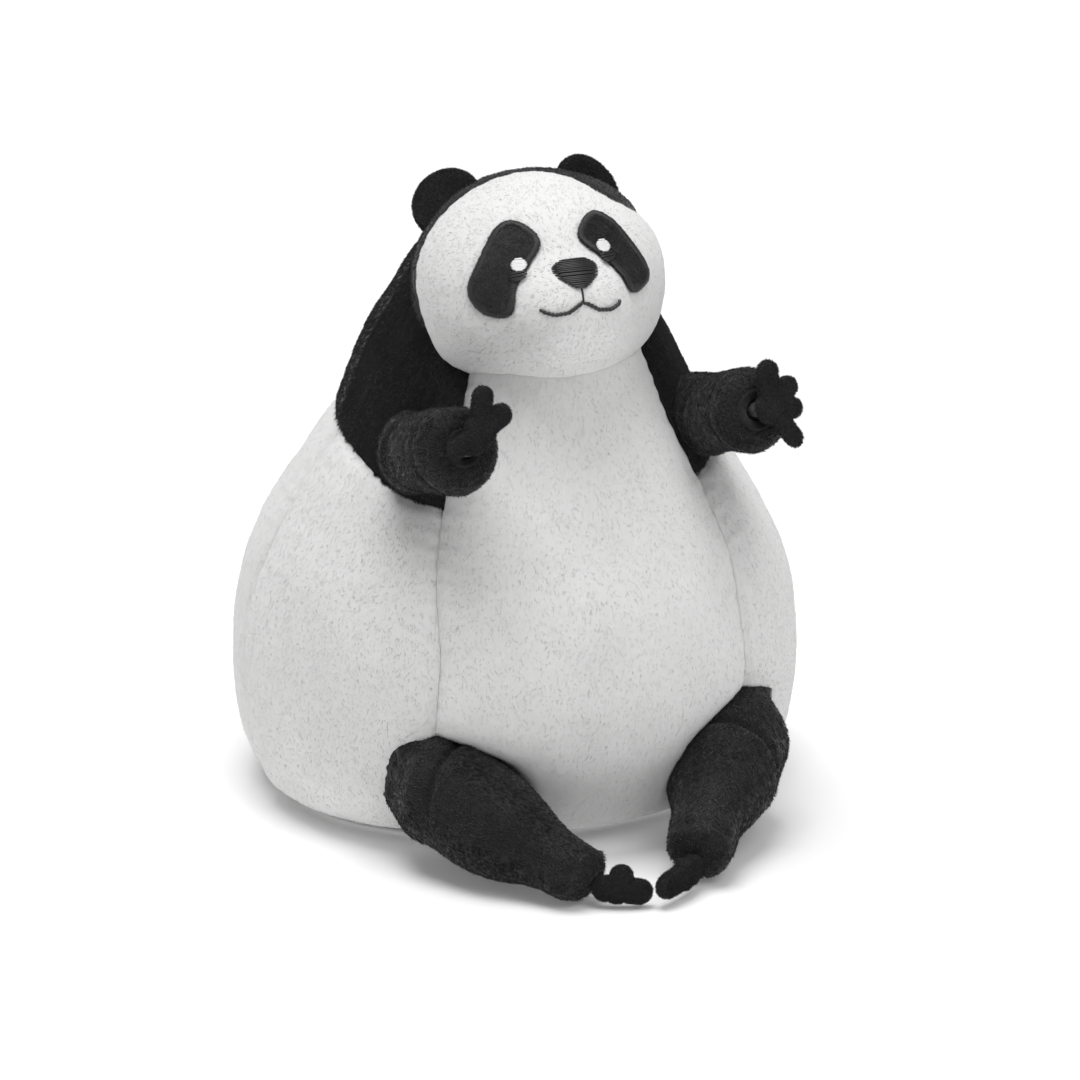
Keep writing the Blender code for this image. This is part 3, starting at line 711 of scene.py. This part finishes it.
def build_stitches():
    """Short thread stitches that cross the two seams beside the belly."""
    parts = []
    for sign in (-1, 1):
        for height in np.arange(6 * MM, 84 * MM, STITCH_PITCH):
            middle = sign * belly_seam(height)
            rim = STITCH_REACH / MEAN_RADIUS
            angles = middle + np.linspace(-rim, rim, 5)
            heights = height + np.linspace(-0.35, 0.35, 5) * MM
            points = torso_skin(angles, heights)
            normals = torso_normal(angles, heights)
            depth = seam_depth(np.abs(np.linspace(-0.8, 0.8, 5)) * MM, height, 0) - 0.12 * MM
            points = push_out(points - normals * depth[:, None], normals)
            if min(np.linalg.norm(points[2] - line[0]) for line in LEGS.values()) > 15 * MM:
                parts.append(tube(points, 0.14 * MM, 5))
    dress(make("belly_seam_stitches", parts, LOOKS["white_thread"]), "torso")


# ---------------- head

HEAD_TURN = Matrix.Rotation(math.radians(-3.5), 3, "Z") @ Matrix.Rotation(math.radians(-15), 3, "X")
AHEAD, LEFT, HIGH = (np.array(HEAD_TURN @ Vector(v)) for v in ((0, -1, 0), (1, 0, 0), (0, 0, 1)))


def face_direction(place):
    """The direction from the head's centre to a place on the face, given in metres along its surface."""
    place = np.asarray(place, float)
    far = np.linalg.norm(place, axis=-1, keepdims=True)
    spread = far / FACE_SCALE
    flat = (LEFT * place[..., :1] + HIGH * place[..., 1:]) / np.maximum(far, 1e-9)
    return AHEAD * np.cos(spread) + flat * np.sin(spread)


def head_surface(place, lift=0.0):
    place = np.asarray(place, float)
    direction = face_direction(place)
    level = np.linalg.norm(direction[..., :2], axis=-1) / HEAD_RADIUS
    plain = 1 / np.hypot(level, direction[..., 2] / HEAD_HALF)
    off = np.hypot(place[..., 0], 1.15 * (place[..., 1] + 6 * MM)) / MUZZLE_SPREAD
    reach = plain + MUZZLE_RISE * np.exp(-(off**3))
    reach = reach + head_relief(place)
    return HEAD + direction * (reach + lift)[..., None]


def head_relief(place):
    """Soft hollows and rises of the stuffed face: eye sockets, cheeks, brow and chin."""
    x, y = place[..., 0] / MM, place[..., 1] / MM
    relief = np.zeros(x.shape)
    for side, sign in SIDES:
        u = x * sign - EYE_SHIFT[side] / MM * sign
        relief -= 0.9 * hill(u - 11, 5, y - 8, 6)
        relief += 0.8 * hill(u - 18, 7, y + 12, 8)
        relief += JOWL[side] * hill(x * sign - 34, 12, y + 24, 13)
    relief -= 0.7 * hill(x, 5, y + 11.5, 2.2)
    relief += 0.5 * hill(x, 6, y - 15, 7)
    return relief * MM


def face_edge(turn):
    """How far the seam round the face is from the face's middle, in each direction from it."""
    off = (turn - EAR_SIDE + math.pi) % (2 * math.pi) - math.pi
    return FACE_SCALE * (FACE_SEAM - SEAM_AHEAD * hill(off, SEAM_SPREAD))


def place_grid(inner, outer, rings, sides):
    share = np.linspace(0, 1, rings)[:, None]
    turn = np.arange(sides)[None, :] * 2 * math.pi / sides
    ends = [face_edge(turn) if radius is None else radius for radius in (inner, outer)]
    radius = mix(*ends, share)
    return np.stack([radius * np.cos(turn), radius * np.sin(turn)], -1)


def head_lumps(grid, lift):
    rough = 0.35 * MM * noise(grid, 13 * MM, 3) + 0.15 * MM * noise(grid, 6 * MM, 4)
    return lift + rough + 0.07 * MM * noise(grid, 1.6 * MM, 5) + 0.05 * MM * noise(grid, 0.8 * MM, 6)


def head_piece(name, nodes, look, inner, outer, rings, sides, tufts, caps, seed):
    """A panel of the head between two distances from the face's middle. None is the seam round the face."""
    places = place_grid(inner, outer, rings, sides)
    base = head_surface(places)
    turn = np.arctan2(places[..., 1], places[..., 0])
    far = np.abs(np.linalg.norm(places, axis=-1) - face_edge(turn))
    around = turn * FACE_SCALE
    normals = surface_normals(base, base - HEAD, wrap=True)
    lift = head_lumps(base, -0.8 * seam_depth(far, around, 1))
    outer_grid = base + normals * lift[..., None]
    inner_grid = base + normals * (lift - LAYER)[..., None]
    body = shell(outer_grid, inner_grid, wrap=True, caps=caps)
    away = unit(places)
    spread = np.linalg.norm(places, axis=-1, keepdims=True) / FACE_SCALE
    flat = LEFT * away[..., :1] + HIGH * away[..., 1:]
    nap = flat * np.cos(spread) - AHEAD * np.sin(spread)
    fuzz = pile(outer_grid, normals, tufts, PILES[look], nap, seed, wrap=True)
    dress(make(name, [body, fuzz], LOOKS[look]), "head", nodes)


# Places on the face: across to the panda's left and up from the middle of the face
EYE = MM * np.array(
    [(12.6, 18.8), (8.2, 16), (6, 11.6), (9.2, 6.4), (12.4, 1.5)]
    + [(14, -4.8), (20.6, -4.6), (24.2, 1), (20.6, 9.6), (16.8, 16.6)]
)
EYE_FOOT = {"right": 1.0, "left": 0.45}  # how much of the outline below 0 each eye keeps
EYE_SLIM = {"right": 0.0, "left": 1.6 * MM}  # how far its inner edge moves outwards
GLINT_PLACE = 11.5 * MM
GLINT_HEIGHT = {"right": 6.4 * MM, "left": 8.9 * MM}
NOSE = MM * np.array(
    [(0, 6.3), (3.4, 6.1), (5.2, 4.6), (4, 2.3), (1.6, 0.6)]
    + [(0, 0.2), (-1.6, 0.6), (-4, 2.3), (-5.2, 4.6), (-3.4, 6.1)]
)
SMILE = MM * np.array([(0, -2.4), (1.2, -3.1), (3, -4.2), (5.6, -4.5), (7.6, -3.9), (9, -2.8)])


def closed_curve(points, count):
    """A smooth closed line through a few points, in count even steps."""
    n, made = len(points), []
    for i in range(n):
        a, b, c, d = (points[(i + k) % n] for k in (-1, 0, 1, 2))
        t = np.linspace(0, 1, 24, endpoint=False)[:, None]
        bend = (2 * a - 5 * b + 4 * c - d) * t**2 + (3 * b - a - 3 * c + d) * t**3
        made.append(0.5 * (2 * b + (c - a) * t + bend))
    line = np.concatenate(made)
    return even_steps(np.concatenate([line, line[:1]]), count + 1)[:-1]


def even_steps(line, count):
    run = np.concatenate([[0], np.cumsum(np.linalg.norm(np.diff(line, axis=0), axis=-1))])
    at = np.linspace(0, run[-1], count)
    return np.stack([np.interp(at, run, line[:, k]) for k in range(line.shape[1])], -1)


def inset_line(line, depth):
    """A closed line drawn inwards by depth."""
    along = unit(np.roll(line, -1, axis=0) - np.roll(line, 1, axis=0))
    side = np.stack([-along[:, 1], along[:, 0]], -1)
    centre = line.mean(axis=0)
    side = side * np.sign(np.sum(side * (centre - line), axis=-1, keepdims=True).sum())
    return line + side * depth


def satin_edge(outline, width, pitch, lift, radius, seed):
    """Satin stitches laid side by side across the edge of a patch."""
    rng = np.random.default_rng(seed)
    length = np.sum(np.linalg.norm(np.diff(outline, axis=0), axis=-1))
    count = int(length / pitch)
    line = even_steps(np.concatenate([outline, outline[:1]]), count + 1)[:-1]
    inward = unit(inset_line(line, width) - line)
    parts = []
    for k in range(count):
        start = line[k] - inward[k] * (0.25 + 0.25 * rng.random()) * MM
        end = line[k] + inward[k] * (width + 0.3 * MM * rng.random())
        share = np.linspace(0, 1, 6)
        places = mix(start, end, share[:, None])
        height = lift + 0.35 * MM * np.sin(math.pi * share) - 0.25 * MM * (share > 0.9)
        parts.append(tube(head_surface(places, height), radius, 5))
    return parts


def rows_of_thread(outline, pitch, lift, rise, radius, seed, lean=0.0):
    """Satin stitches that fill a closed outline in level rows."""
    rng = np.random.default_rng(seed)
    parts = []
    low, high = outline[:, 1].min(), outline[:, 1].max()
    closed = np.concatenate([outline, outline[:1]])
    for y in np.arange(low + 0.2 * MM, high, pitch):
        crossing = []
        for p, q in zip(closed, closed[1:]):
            if (p[1] - y) * (q[1] - y) < 0:
                crossing.append(mix(p[0], q[0], (y - p[1]) / (q[1] - p[1])))
        if len(crossing) < 2:
            continue
        x0, x1 = min(crossing) - 0.15 * MM * rng.random(), max(crossing) + 0.15 * MM * rng.random()
        share = np.linspace(0, 1, 9)
        row = y + lean * (share - 0.5) + 0.05 * MM * rng.normal() + 0 * share
        places = np.stack([mix(x0, x1, share), row], -1)
        parts.append(tube(head_surface(places, lift + rise * np.sin(math.pi * share) ** 0.6), radius, 6))
    return parts


def stem_stitch(line, radius, lift):
    """Overlapping twisted stitches along a line."""
    line = even_steps(line, 90)
    parts, reach, pitch = [], 14, 7
    for k in range(0, len(line) - reach + 1, pitch):
        piece = line[k : k + reach : 2]
        along = unit(np.gradient(piece, axis=0))
        side = np.stack([-along[:, 1], along[:, 0]], -1)
        share = np.linspace(-1, 1, len(piece))[:, None]
        height = lift + 0.2 * MM * np.cos(share[:, 0] * math.pi / 2)
        parts.append(tube(head_surface(piece + side * share * 0.22 * MM, height), radius, 6))
    return parts


def face_part(name, parts, slot, nodes=(), look=None):
    dress(make(name, parts, LOOKS[look or slot]), "head", nodes)


def oval(middle, across, tall):
    turn = np.linspace(0, 2 * math.pi, 40, endpoint=False)
    return middle + np.stack([across * np.cos(turn), tall * np.sin(turn)], -1)


def build_eye(side, sign):
    """A crowned plush patch edged with satin stitch, with a white highlight over a dark pupil."""
    shift = np.array((EYE_SHIFT[side], 0))
    bean = EYE.copy()
    bean[bean[:, 1] < 0, 1] *= EYE_FOOT[side]
    bean[3:6, 0] += EYE_SLIM[side]
    outline = closed_curve(bean * (sign, 1) + shift, 200)
    centre = outline.mean(axis=0)
    share = np.linspace(0, 1, 22)[:, None, None]
    places = centre + (outline - centre) * share
    places[0] = centre + (outline - centre) * 0.02
    height = 0.75 * MM * (1 - smooth(share[..., 0], 0.88, 1.0)) + 0 * places[..., 0]
    outer = head_surface(places, height + 0.05 * MM)
    height = height + 0.1 * MM * noise(outer, 1.5 * MM, 8) + 0.15 * MM * noise(outer, 4 * MM, 9)
    outer = head_surface(places, height + 0.05 * MM)
    inner = head_surface(places, 0 * height - 0.5 * MM)
    normals = surface_normals(outer, outer - HEAD, wrap=True)
    fuzz = pile(outer, normals, 7000, PILES["eye_plush"], unit(-HIGH), 61 + sign, wrap=True, wild=0.5)
    patch = disc(outer, inner)
    face_part(f"{side}_eye", [patch, fuzz], "black_plush", [f"{side}_eye_patch"], "eye_plush")
    edge = satin_edge(outline, 1.7 * MM, 0.36 * MM, 0.6 * MM, 0.22 * MM, 5)
    face_part(f"{side}_eye_edge", edge, "black_thread")
    middle = np.array((sign * GLINT_PLACE, GLINT_HEIGHT[side])) + shift
    glint = rows_of_thread(oval(middle, 1.9 * MM, 1.55 * MM), 0.34 * MM, 1.35 * MM, 0.3 * MM, 0.22 * MM, 3)
    face_part(f"{side}_eye_glint", glint, "white_thread", [f"{side}_eye_highlight"])
    below = middle + (0.4 * sign * MM, -2.4 * MM)
    pupil = oval(below, 2.1 * MM, 1.5 * MM)
    pupil = rows_of_thread(pupil, 0.34 * MM, 1.1 * MM, 0.3 * MM, 0.22 * MM, 4, 0.5 * MM)
    face_part(f"{side}_pupil", pupil, "black_thread")


def build_nose():
    """A low pad covered with level rows of satin stitch."""
    nose = closed_curve(NOSE, 120)
    share = np.linspace(0.03, 1, 14)[:, None, None]
    centre = nose.mean(axis=0)
    places = centre + (nose - centre) * share
    height = 0.55 * MM * (1 - smooth(share[..., 0], 0.6, 1.0)) + 0 * places[..., 0]
    pad = disc(head_surface(places, height), head_surface(places, 0 * height - 0.4 * MM))
    threads = rows_of_thread(nose, 0.36 * MM, 0.35 * MM, 0.75 * MM, 0.26 * MM, 7)
    face_part("nose", [pad, *threads], "black_thread", ["nose_embroidery"])


def build_mouth():
    mouth = []
    for sign in (-1, 1):
        mouth += stem_stitch(SMILE * (sign, 1), 0.42 * MM, 0.25 * MM)
    face_part("mouth", mouth, "black_thread", ["mouth_embroidery"])
    line = MM * np.array([(0, 0.2), (0.02, -0.8), (0, -2.5)])
    thread = tube(head_surface(even_steps(line, 9), 0.2 * MM), 0.3 * MM)
    face_part("philtrum", [thread], "black_thread", ["philtrum_embroidery"])


def build_head():
    head_piece(
        "face", ["muzzle_panel", "face_panel"], "white_plush", 0.4 * MM, None,
        85, 260, 9000, (True, False), 71,
    )
    head_piece(
        "back_of_head", ["back_of_head_panel"], "black_plush", None, math.pi * FACE_SCALE - 0.5 * MM,
        60, 180, 24000, (False, True), 73,
    )
    for side, sign in SIDES:
        build_eye(side, sign)
    build_nose()
    build_mouth()


# ---------------- limbs


def limb_axes(along):
    x = unit(along)
    z = unit(np.array((0, 0, 1.0)) - x * x[2])
    return x, np.cross(z, x), z


def torso_landing(points, inset, limb):
    """Places on the torso's skin at the same height and angle. An arm's stay on the shoulder panel."""
    height = np.clip(points[..., 2], 1.5 * MM, 148 * MM)
    angle = np.arctan2(points[..., 0], AXIS_Y - points[..., 1])
    if limb == "arm":
        height = np.maximum(height, yoke_seam(angle) + 2.5 * MM)
        angle = np.sign(angle) * np.maximum(np.abs(angle), belly_seam(height) + 0.03)
    return torso_skin(angle, height) - torso_normal(angle, height) * (drawn_in(height) + inset)[..., None]


def build_limb(side, limb, line, radii, end_profile, skirt, rings, sides, tufts, flare, taper, seed):
    """A stuffed tube from its skirt, which lands on the torso, to its closed round end."""
    root, along, length = line
    x, y, z = limb_axes(along)
    body_s = np.linspace(-skirt, length - LIMB_END, rings)
    body_r = np.interp(body_s, radii[:, 0], radii[:, 1])
    body_r = body_r + mix(0, STOUTER[side, limb], smooth(body_s, 0, length))
    profile_s = np.concatenate([body_s, length - LIMB_END + end_profile[:, 0]])
    profile_r = np.concatenate([body_r, body_r[-1] * end_profile[:, 1]])
    turns = np.arange(sides) * 2 * math.pi / sides
    s, turn = np.meshgrid(profile_s, turns, indexing="ij")
    r = profile_r[:, None] * np.sqrt(1 - taper * np.clip(-s / skirt, 0, 1) ** 2)
    r = r + flare * (1 - smooth(s, -skirt, 7 * MM)) ** 2
    centre = root + x * s[..., None]
    if (side, limb) == ("right", "leg"):
        sag = smooth(s, 4 * MM, 20 * MM) * (1 - smooth(s, length - 8 * MM, length + 2 * MM))
        centre = centre + sag[..., None] * SHIN_SAG
    ring = y * np.cos(turn)[..., None] + z * np.sin(turn)[..., None]
    grid = centre + ring * r[..., None]
    outward = ring + 0.2 * x
    lumps = 0.45 * MM * noise(grid, 9 * MM, seed) + 0.2 * MM * noise(grid, 4 * MM, seed + 1)
    folds = limb_folds(limb, side, s, turn, length)
    grid = grid + ring * ((lumps + folds) * smooth(s, -skirt, 0))[..., None]
    share = (1 - smooth(s, -skirt, 1.5 * MM))[..., None]
    grid = above_floor(mix(grid, torso_landing(grid, 0.6 * MM, limb), share), 0.35 * MM)
    normals = surface_normals(grid, outward, wrap=True)
    fine = 0.08 * MM * noise(grid, 1.4 * MM, seed + 2) + 0.06 * MM * noise(grid, 0.8 * MM, seed + 3)
    grid = above_floor(grid + normals * (fine * smooth(s, -skirt, 0))[..., None], 0.25 * MM)
    inner = above_floor(grid - normals * 0.9 * MM, 0.12 * MM)
    body = shell(grid, inner, wrap=True, caps=(False, True))
    clear = (grid[:-1, :, 2] > 1.0 * MM) & (s[:-1] > 1.5 * MM - skirt)
    fuzz = pile(grid, normals, tufts, PILES["black_plush"], x, seed, wrap=True, keep=clear, wild=0.45)
    made = make(f"{side}_{limb}", [body, fuzz], LOOKS["black_plush"])
    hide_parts(f"{side}_{limb}_cover", f"{side}_{limb}_stuffing")
    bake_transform(made)


def limb_folds(limb, side, s, turn, length):
    """Creases in a limb: rings at an arm's cuff, and a fold across a leg below the hip."""
    if limb == "arm":
        ripple = -0.55 * MM * hill(s - length + 8.5 * MM, 1.1 * MM)
        ripple += 0.3 * MM * hill(s - length + 5.5 * MM, 2.0 * MM)
        return ripple - 0.6 * MM * hill(s - 3 * MM - 1.6 * MM * np.sin(turn), 1.6 * MM)
    place = 5.5 * MM if side == "right" else 14 * MM
    bend = s - place + 3 * MM * np.cos(turn - 1.2)
    one_side = 0.5 + 0.5 * np.sin(turn + 0.4)
    fold = -1.4 * MM * hill(bend, 1.2 * MM) * one_side
    fold += 0.6 * MM * hill(bend - 3.2 * MM, 2.2 * MM) * one_side
    return fold - 0.6 * MM * hill(s - length + 5 * MM, 1.3 * MM)


# Closing curve of a limb's end: millimetres along its last stretch, and share of the radius before it
LIMB_END = 6 * MM
ARM_END = np.array(
    [(1.5, 1.0), (3.0, 0.97), (4.4, 0.9), (5.4, 0.79), (6.0, 0.64)]
    + [(6.0, 0.5), (5.3, 0.4), (4.7, 0.3), (4.7, 0.12)]
)
LEG_END = np.array([(1.5, 0.98), (3.0, 0.92), (4.2, 0.82), (5.2, 0.66), (5.9, 0.45), (6.2, 0.2)])


def refine(profile, count):
    """Even steps along a closing curve, as if its radius were 9 mm, in metres and shares."""
    points = even_steps(profile * (1, 9), count)
    return points * (MM, 1 / 9)


def lobed(palm, lobes, count):
    """A flat hand or foot: a round palm with lobes, each given by its direction in degrees, length and half
    width in millimetres."""
    turn = np.arange(count) * 2 * math.pi / count
    reach = np.full(count, palm)
    for direction, *size in lobes:
        length, half = (value * MM for value in size)
        off = math.radians(direction) - turn
        beside, ahead = np.abs(np.sin(off)), np.cos(off)
        span = length - half
        inside = half**2 - (span * beside) ** 2
        tip = span * ahead + np.sqrt(np.maximum(inside, 0))
        flank = np.minimum(half / np.maximum(beside, 1e-6), span)
        made = np.where(inside > 0, tip, flank)
        reach = np.maximum(reach, np.where(ahead > 0, made, 0))
    for _ in range(2):
        reach = 0.5 * reach + 0.25 * (np.roll(reach, 1) + np.roll(reach, -1))
    return np.stack([reach * np.cos(turn), reach * np.sin(turn)], -1)


def felt_layers(body, outline, centre, axes, thick, puff, curl, seed, tufts=5000):
    """Two soft layers sewn edge to edge, with a raised seam round the outline."""
    x, y, z = axes
    share = np.sqrt(np.linspace(0.0004, 1, 30))[:, None]
    flat = outline[None] * share[..., None]
    rng = np.random.default_rng(seed)
    for layer, sign in (("front", 1), ("back", -1)):
        height = thick + puff * (1 - share**4) ** 0.5 + 0 * flat[..., 0]
        height = height * np.sqrt(np.maximum(1 - share**12, 0.0025))
        height = height + 0.3 * MM * hill(share - 0.93, 0.035)
        world = centre + x * flat[..., :1] + z * flat[..., 1:] + y * curl(flat)[..., None]
        outer = world + y * (sign * (height + 0.05 * MM))[..., None]
        lumps = 0.1 * MM * noise(outer, 1.3 * MM, seed) + 0.15 * MM * noise(outer, 3.5 * MM, seed + 1)
        outer = outer + y * (sign * lumps * (1 - share**8))[..., None]
        inner = above_floor(world + y * (sign * 0.05 * MM), 0.15 * MM)
        outer = above_floor(outer, 0.2 * MM)
        normals = surface_normals(outer, y * sign, wrap=True)
        fuzz = pile(outer, normals, tufts, PILES["black_felt"], -z, int(rng.integers(1e6)), wrap=True, wild=0.9)
        sheet = disc(outer, inner)
        made = make(f"{body}_{layer}_felt", [sheet, fuzz], LOOKS["black_felt"])
        dress(made, body, [f"{body}_{layer}"])


# Hands: the palm's place beside the hinge, then the lobes. Feet: place ahead of the hinge, height and lobes
HAND_CLEARANCE = 1.2 * MM
HANDS = {
    "left": ((2.1, 0.1), ((91, 11.6, 2.5), (44, 9.0, 2.5), (-8, 7.8, 2.5), (-60, 11.4, 2.1))),
    "right": ((3.2, 4.0), ((80, 10.8, 2.4), (28, 9.2, 2.6), (-152, 10.2, 2.1))),
}
FEET = {
    "right": (4.6, 5.2, ((-10, 8.6, 2.9), (70, 6.0, 2.6), (180, 6, 3.0))),
    "left": (6.0, 6.2, ((-6, 9.6, 2.9), (180, 7.6, 3.4))),
}


def build_hand(side, sign):
    """A hand at right angles to its arm, on a short round wrist."""
    along = ARMS[side][1]
    hinge = np.array(JOINTS[f"{side}_hand_bend"]["pos_m"])
    x = unit(np.array((1.0, 0, 0)) - along * along[0])
    z = unit(np.cross(along, x))
    z = z if z[2] > 0 else -z
    middle, lobes = HANDS[side]
    wrist = math.degrees(math.atan2(-middle[1], -middle[0]))
    outline = lobed(3.9 * MM, (*lobes, (wrist, math.hypot(*middle) + 1.2, 2.9)), 260)
    centre = hinge + x * middle[0] * MM + z * middle[1] * MM + along * HAND_CLEARANCE
    curl = lambda flat: 9.0 * (flat[..., 1] ** 2)
    felt_layers(f"{side}_hand", outline, centre, (x, along, z), 0.75 * MM, 0.5 * MM, curl, 81 + sign)
    stem = np.array([hinge - along * 4.5 * MM, hinge - along * 1.5 * MM, hinge + along * HAND_CLEARANCE])
    made = make(f"{side}_wrist", [tube(even_steps(stem, 8), 1.9 * MM, 20, False)], LOOKS["black_felt"])
    dress(made, f"{side}_hand")


def build_foot(side, sign):
    """A foot that stands on its edge and points to the other one."""
    hinge = np.array(JOINTS[f"{side}_foot_bend"]["pos_m"])
    x = unit(np.array((-sign, -0.75 if sign > 0 else -0.4, 0.0)))
    z = np.array((0, 0, 1.0))
    y = np.cross(z, x)
    y = y if y[1] < 0 else -y
    ahead, height, lobes = FEET[side]
    outline = lobed(3.6 * MM, lobes, 220)
    centre = hinge + x * (ahead - 0.8) * MM
    centre[2] = height * MM
    curl = lambda flat: -12.0 * (flat[..., 0] ** 2)
    felt_layers(f"{side}_foot", outline, centre, (x, y, z), 0.8 * MM, 0.7 * MM, curl, 91 + sign)


def build_ear(side, sign):
    """A round ear with a straight foot sunk in the head."""
    joint = JOINTS[f"{side}_ear_fold"]
    base, across = np.array(joint["pos_m"]), unit(joint["axis"])
    outward = unit(base - HEAD)
    outward = unit(outward - across * (outward @ across))
    through = unit(np.cross(outward, across))
    through = through if through @ AHEAD > 0 else -through
    turn = np.linspace(-math.pi / 2, math.pi / 2, 121)
    arch = np.stack([8.8 * MM * np.sin(turn), 8.6 * MM * np.cos(turn)], -1)
    foot = np.stack([np.linspace(8.8, -8.8, 60)[1:-1] * MM, np.full(58, -1.8 * MM)], -1)
    outline = np.concatenate([arch, foot])
    outline = even_steps(np.concatenate([outline, outline[:1]]), 221)[:-1]
    outline = outline - (0, 2.2 * MM)
    centre = base - outward * 0.2 * MM
    curl = lambda flat: 22.0 * (flat[..., 0] ** 2)
    axes = (across, through, outward)
    felt_layers(f"{side}_ear", outline, centre, axes, 0.9 * MM, 1.1 * MM, curl, 101 + sign, tufts=9000)


def build_limbs():
    for side, sign in SIDES:
        build_limb(
            side, "arm", ARMS[side], ARM_RADII, refine(ARM_END, 26), 12 * MM,
            76, 96, 17000, 1.5 * MM, 0.2, 111 + sign,
        )
        build_limb(
            side, "leg", LEGS[side], LEG_RADII, refine(LEG_END, 22), 11 * MM,
            96, 120, 20000, 0.0, 0.75, 121 + sign,
        )
        build_hand(side, sign)
        build_foot(side, sign)
        build_ear(side, sign)


# ---------------- studio


# Light: the sky's and the floor's own, and two lamps with their place, size and power
SKY_LIGHT, FLOOR_GLOW, FLOOR_REACH = 0.24, 0.12, 4.0
LAMPS = (
    ("key", (0.5, -1.5, 2.0), 1.5, 15.0),
    ("top", (-0.25, 0.12, 2.5), 1.8, 49.0),
)
LAMP_AIM = Vector((0, 0, 0.07))

# Camera: where it looks from, the point it looks at, and how wide its picture is there
VIEW_TURN, VIEW_RISE = math.radians(-21), math.radians(21)
AIM_RIGHT, AIM_UP, VIEW_WIDTH = 6.1 * MM, 56.8 * MM, 264.6 * MM
LENS, SENSOR = 800, 36


def place_in_scene(made, place, back):
    """Puts a camera or lamp at a place, with its back turned in this direction."""
    made.location = place
    made.rotation_mode = "QUATERNION"
    made.rotation_quaternion = back.to_track_quat("Z", "Y")
    bpy.context.scene.collection.objects.link(made)


def build_studio():
    floor = bpy.data.meshes.new("floor")
    corners = [(x * FLOOR_REACH, y * FLOOR_REACH, 0) for x, y in ((-1, -1), (1, -1), (1, 1), (-1, 1))]
    floor.from_pydata(corners, [], [(0, 1, 2, 3)])
    pale, _, shader = node_material("floor", (0.95, 0.95, 0.95), 0.9, specular=0.0)
    shader.inputs["Emission Color"].default_value = (1, 1, 1, 1)
    shader.inputs["Emission Strength"].default_value = FLOOR_GLOW
    floor.materials.append(pale)
    made = bpy.data.objects.new("floor", floor)
    bpy.context.scene.collection.objects.link(made)
    world = bpy.data.worlds.new("studio")
    world.use_nodes = True
    sky = world.node_tree.nodes["Background"]
    sky.inputs["Color"].default_value = (1, 1, 1, 1)
    sky.inputs["Strength"].default_value = SKY_LIGHT
    bpy.context.scene.world = world
    for name, place, size, power in LAMPS:
        lamp = bpy.data.lights.new(name, "AREA")
        lamp.shape = "DISK"
        lamp.size = size
        lamp.energy = power
        place_in_scene(bpy.data.objects.new(name, lamp), place, Vector(place) - LAMP_AIM)


def build_camera():
    """A long lens from the front, a little to the panda's right and above it."""
    reach = math.cos(VIEW_RISE)
    back = Vector((math.sin(VIEW_TURN) * reach, -math.cos(VIEW_TURN) * reach, math.sin(VIEW_RISE)))
    right = Vector((math.cos(VIEW_TURN), math.sin(VIEW_TURN), 0))
    aim = Vector((0, AXIS_Y, 0)) + right * AIM_RIGHT + back.cross(right) * AIM_UP
    lens = bpy.data.cameras.new("camera")
    lens.lens, lens.sensor_width = LENS, SENSOR
    lens.clip_start, lens.clip_end = 0.05, 30
    made = bpy.data.objects.new("camera", lens)
    place_in_scene(made, aim + back * (VIEW_WIDTH * LENS / SENSOR), back)
    bpy.context.scene.camera = made
    bpy.context.scene.view_settings.view_transform = "Standard"


def dress_hidden_nodes():
    """Stuffing and the pouch stay as the frame has them, inside the covers."""
    for name, node in frame["nodes"].items():
        if not node.hide_render:
            look = LOOKS["white_plush"] if name == "pellet_pouch" else LOOKS["stuffing"]
            node.data.materials.clear()
            node.data.materials.append(look)


build_torso()
build_head()
build_limbs()
dress_hidden_nodes()
build_studio()
build_camera()
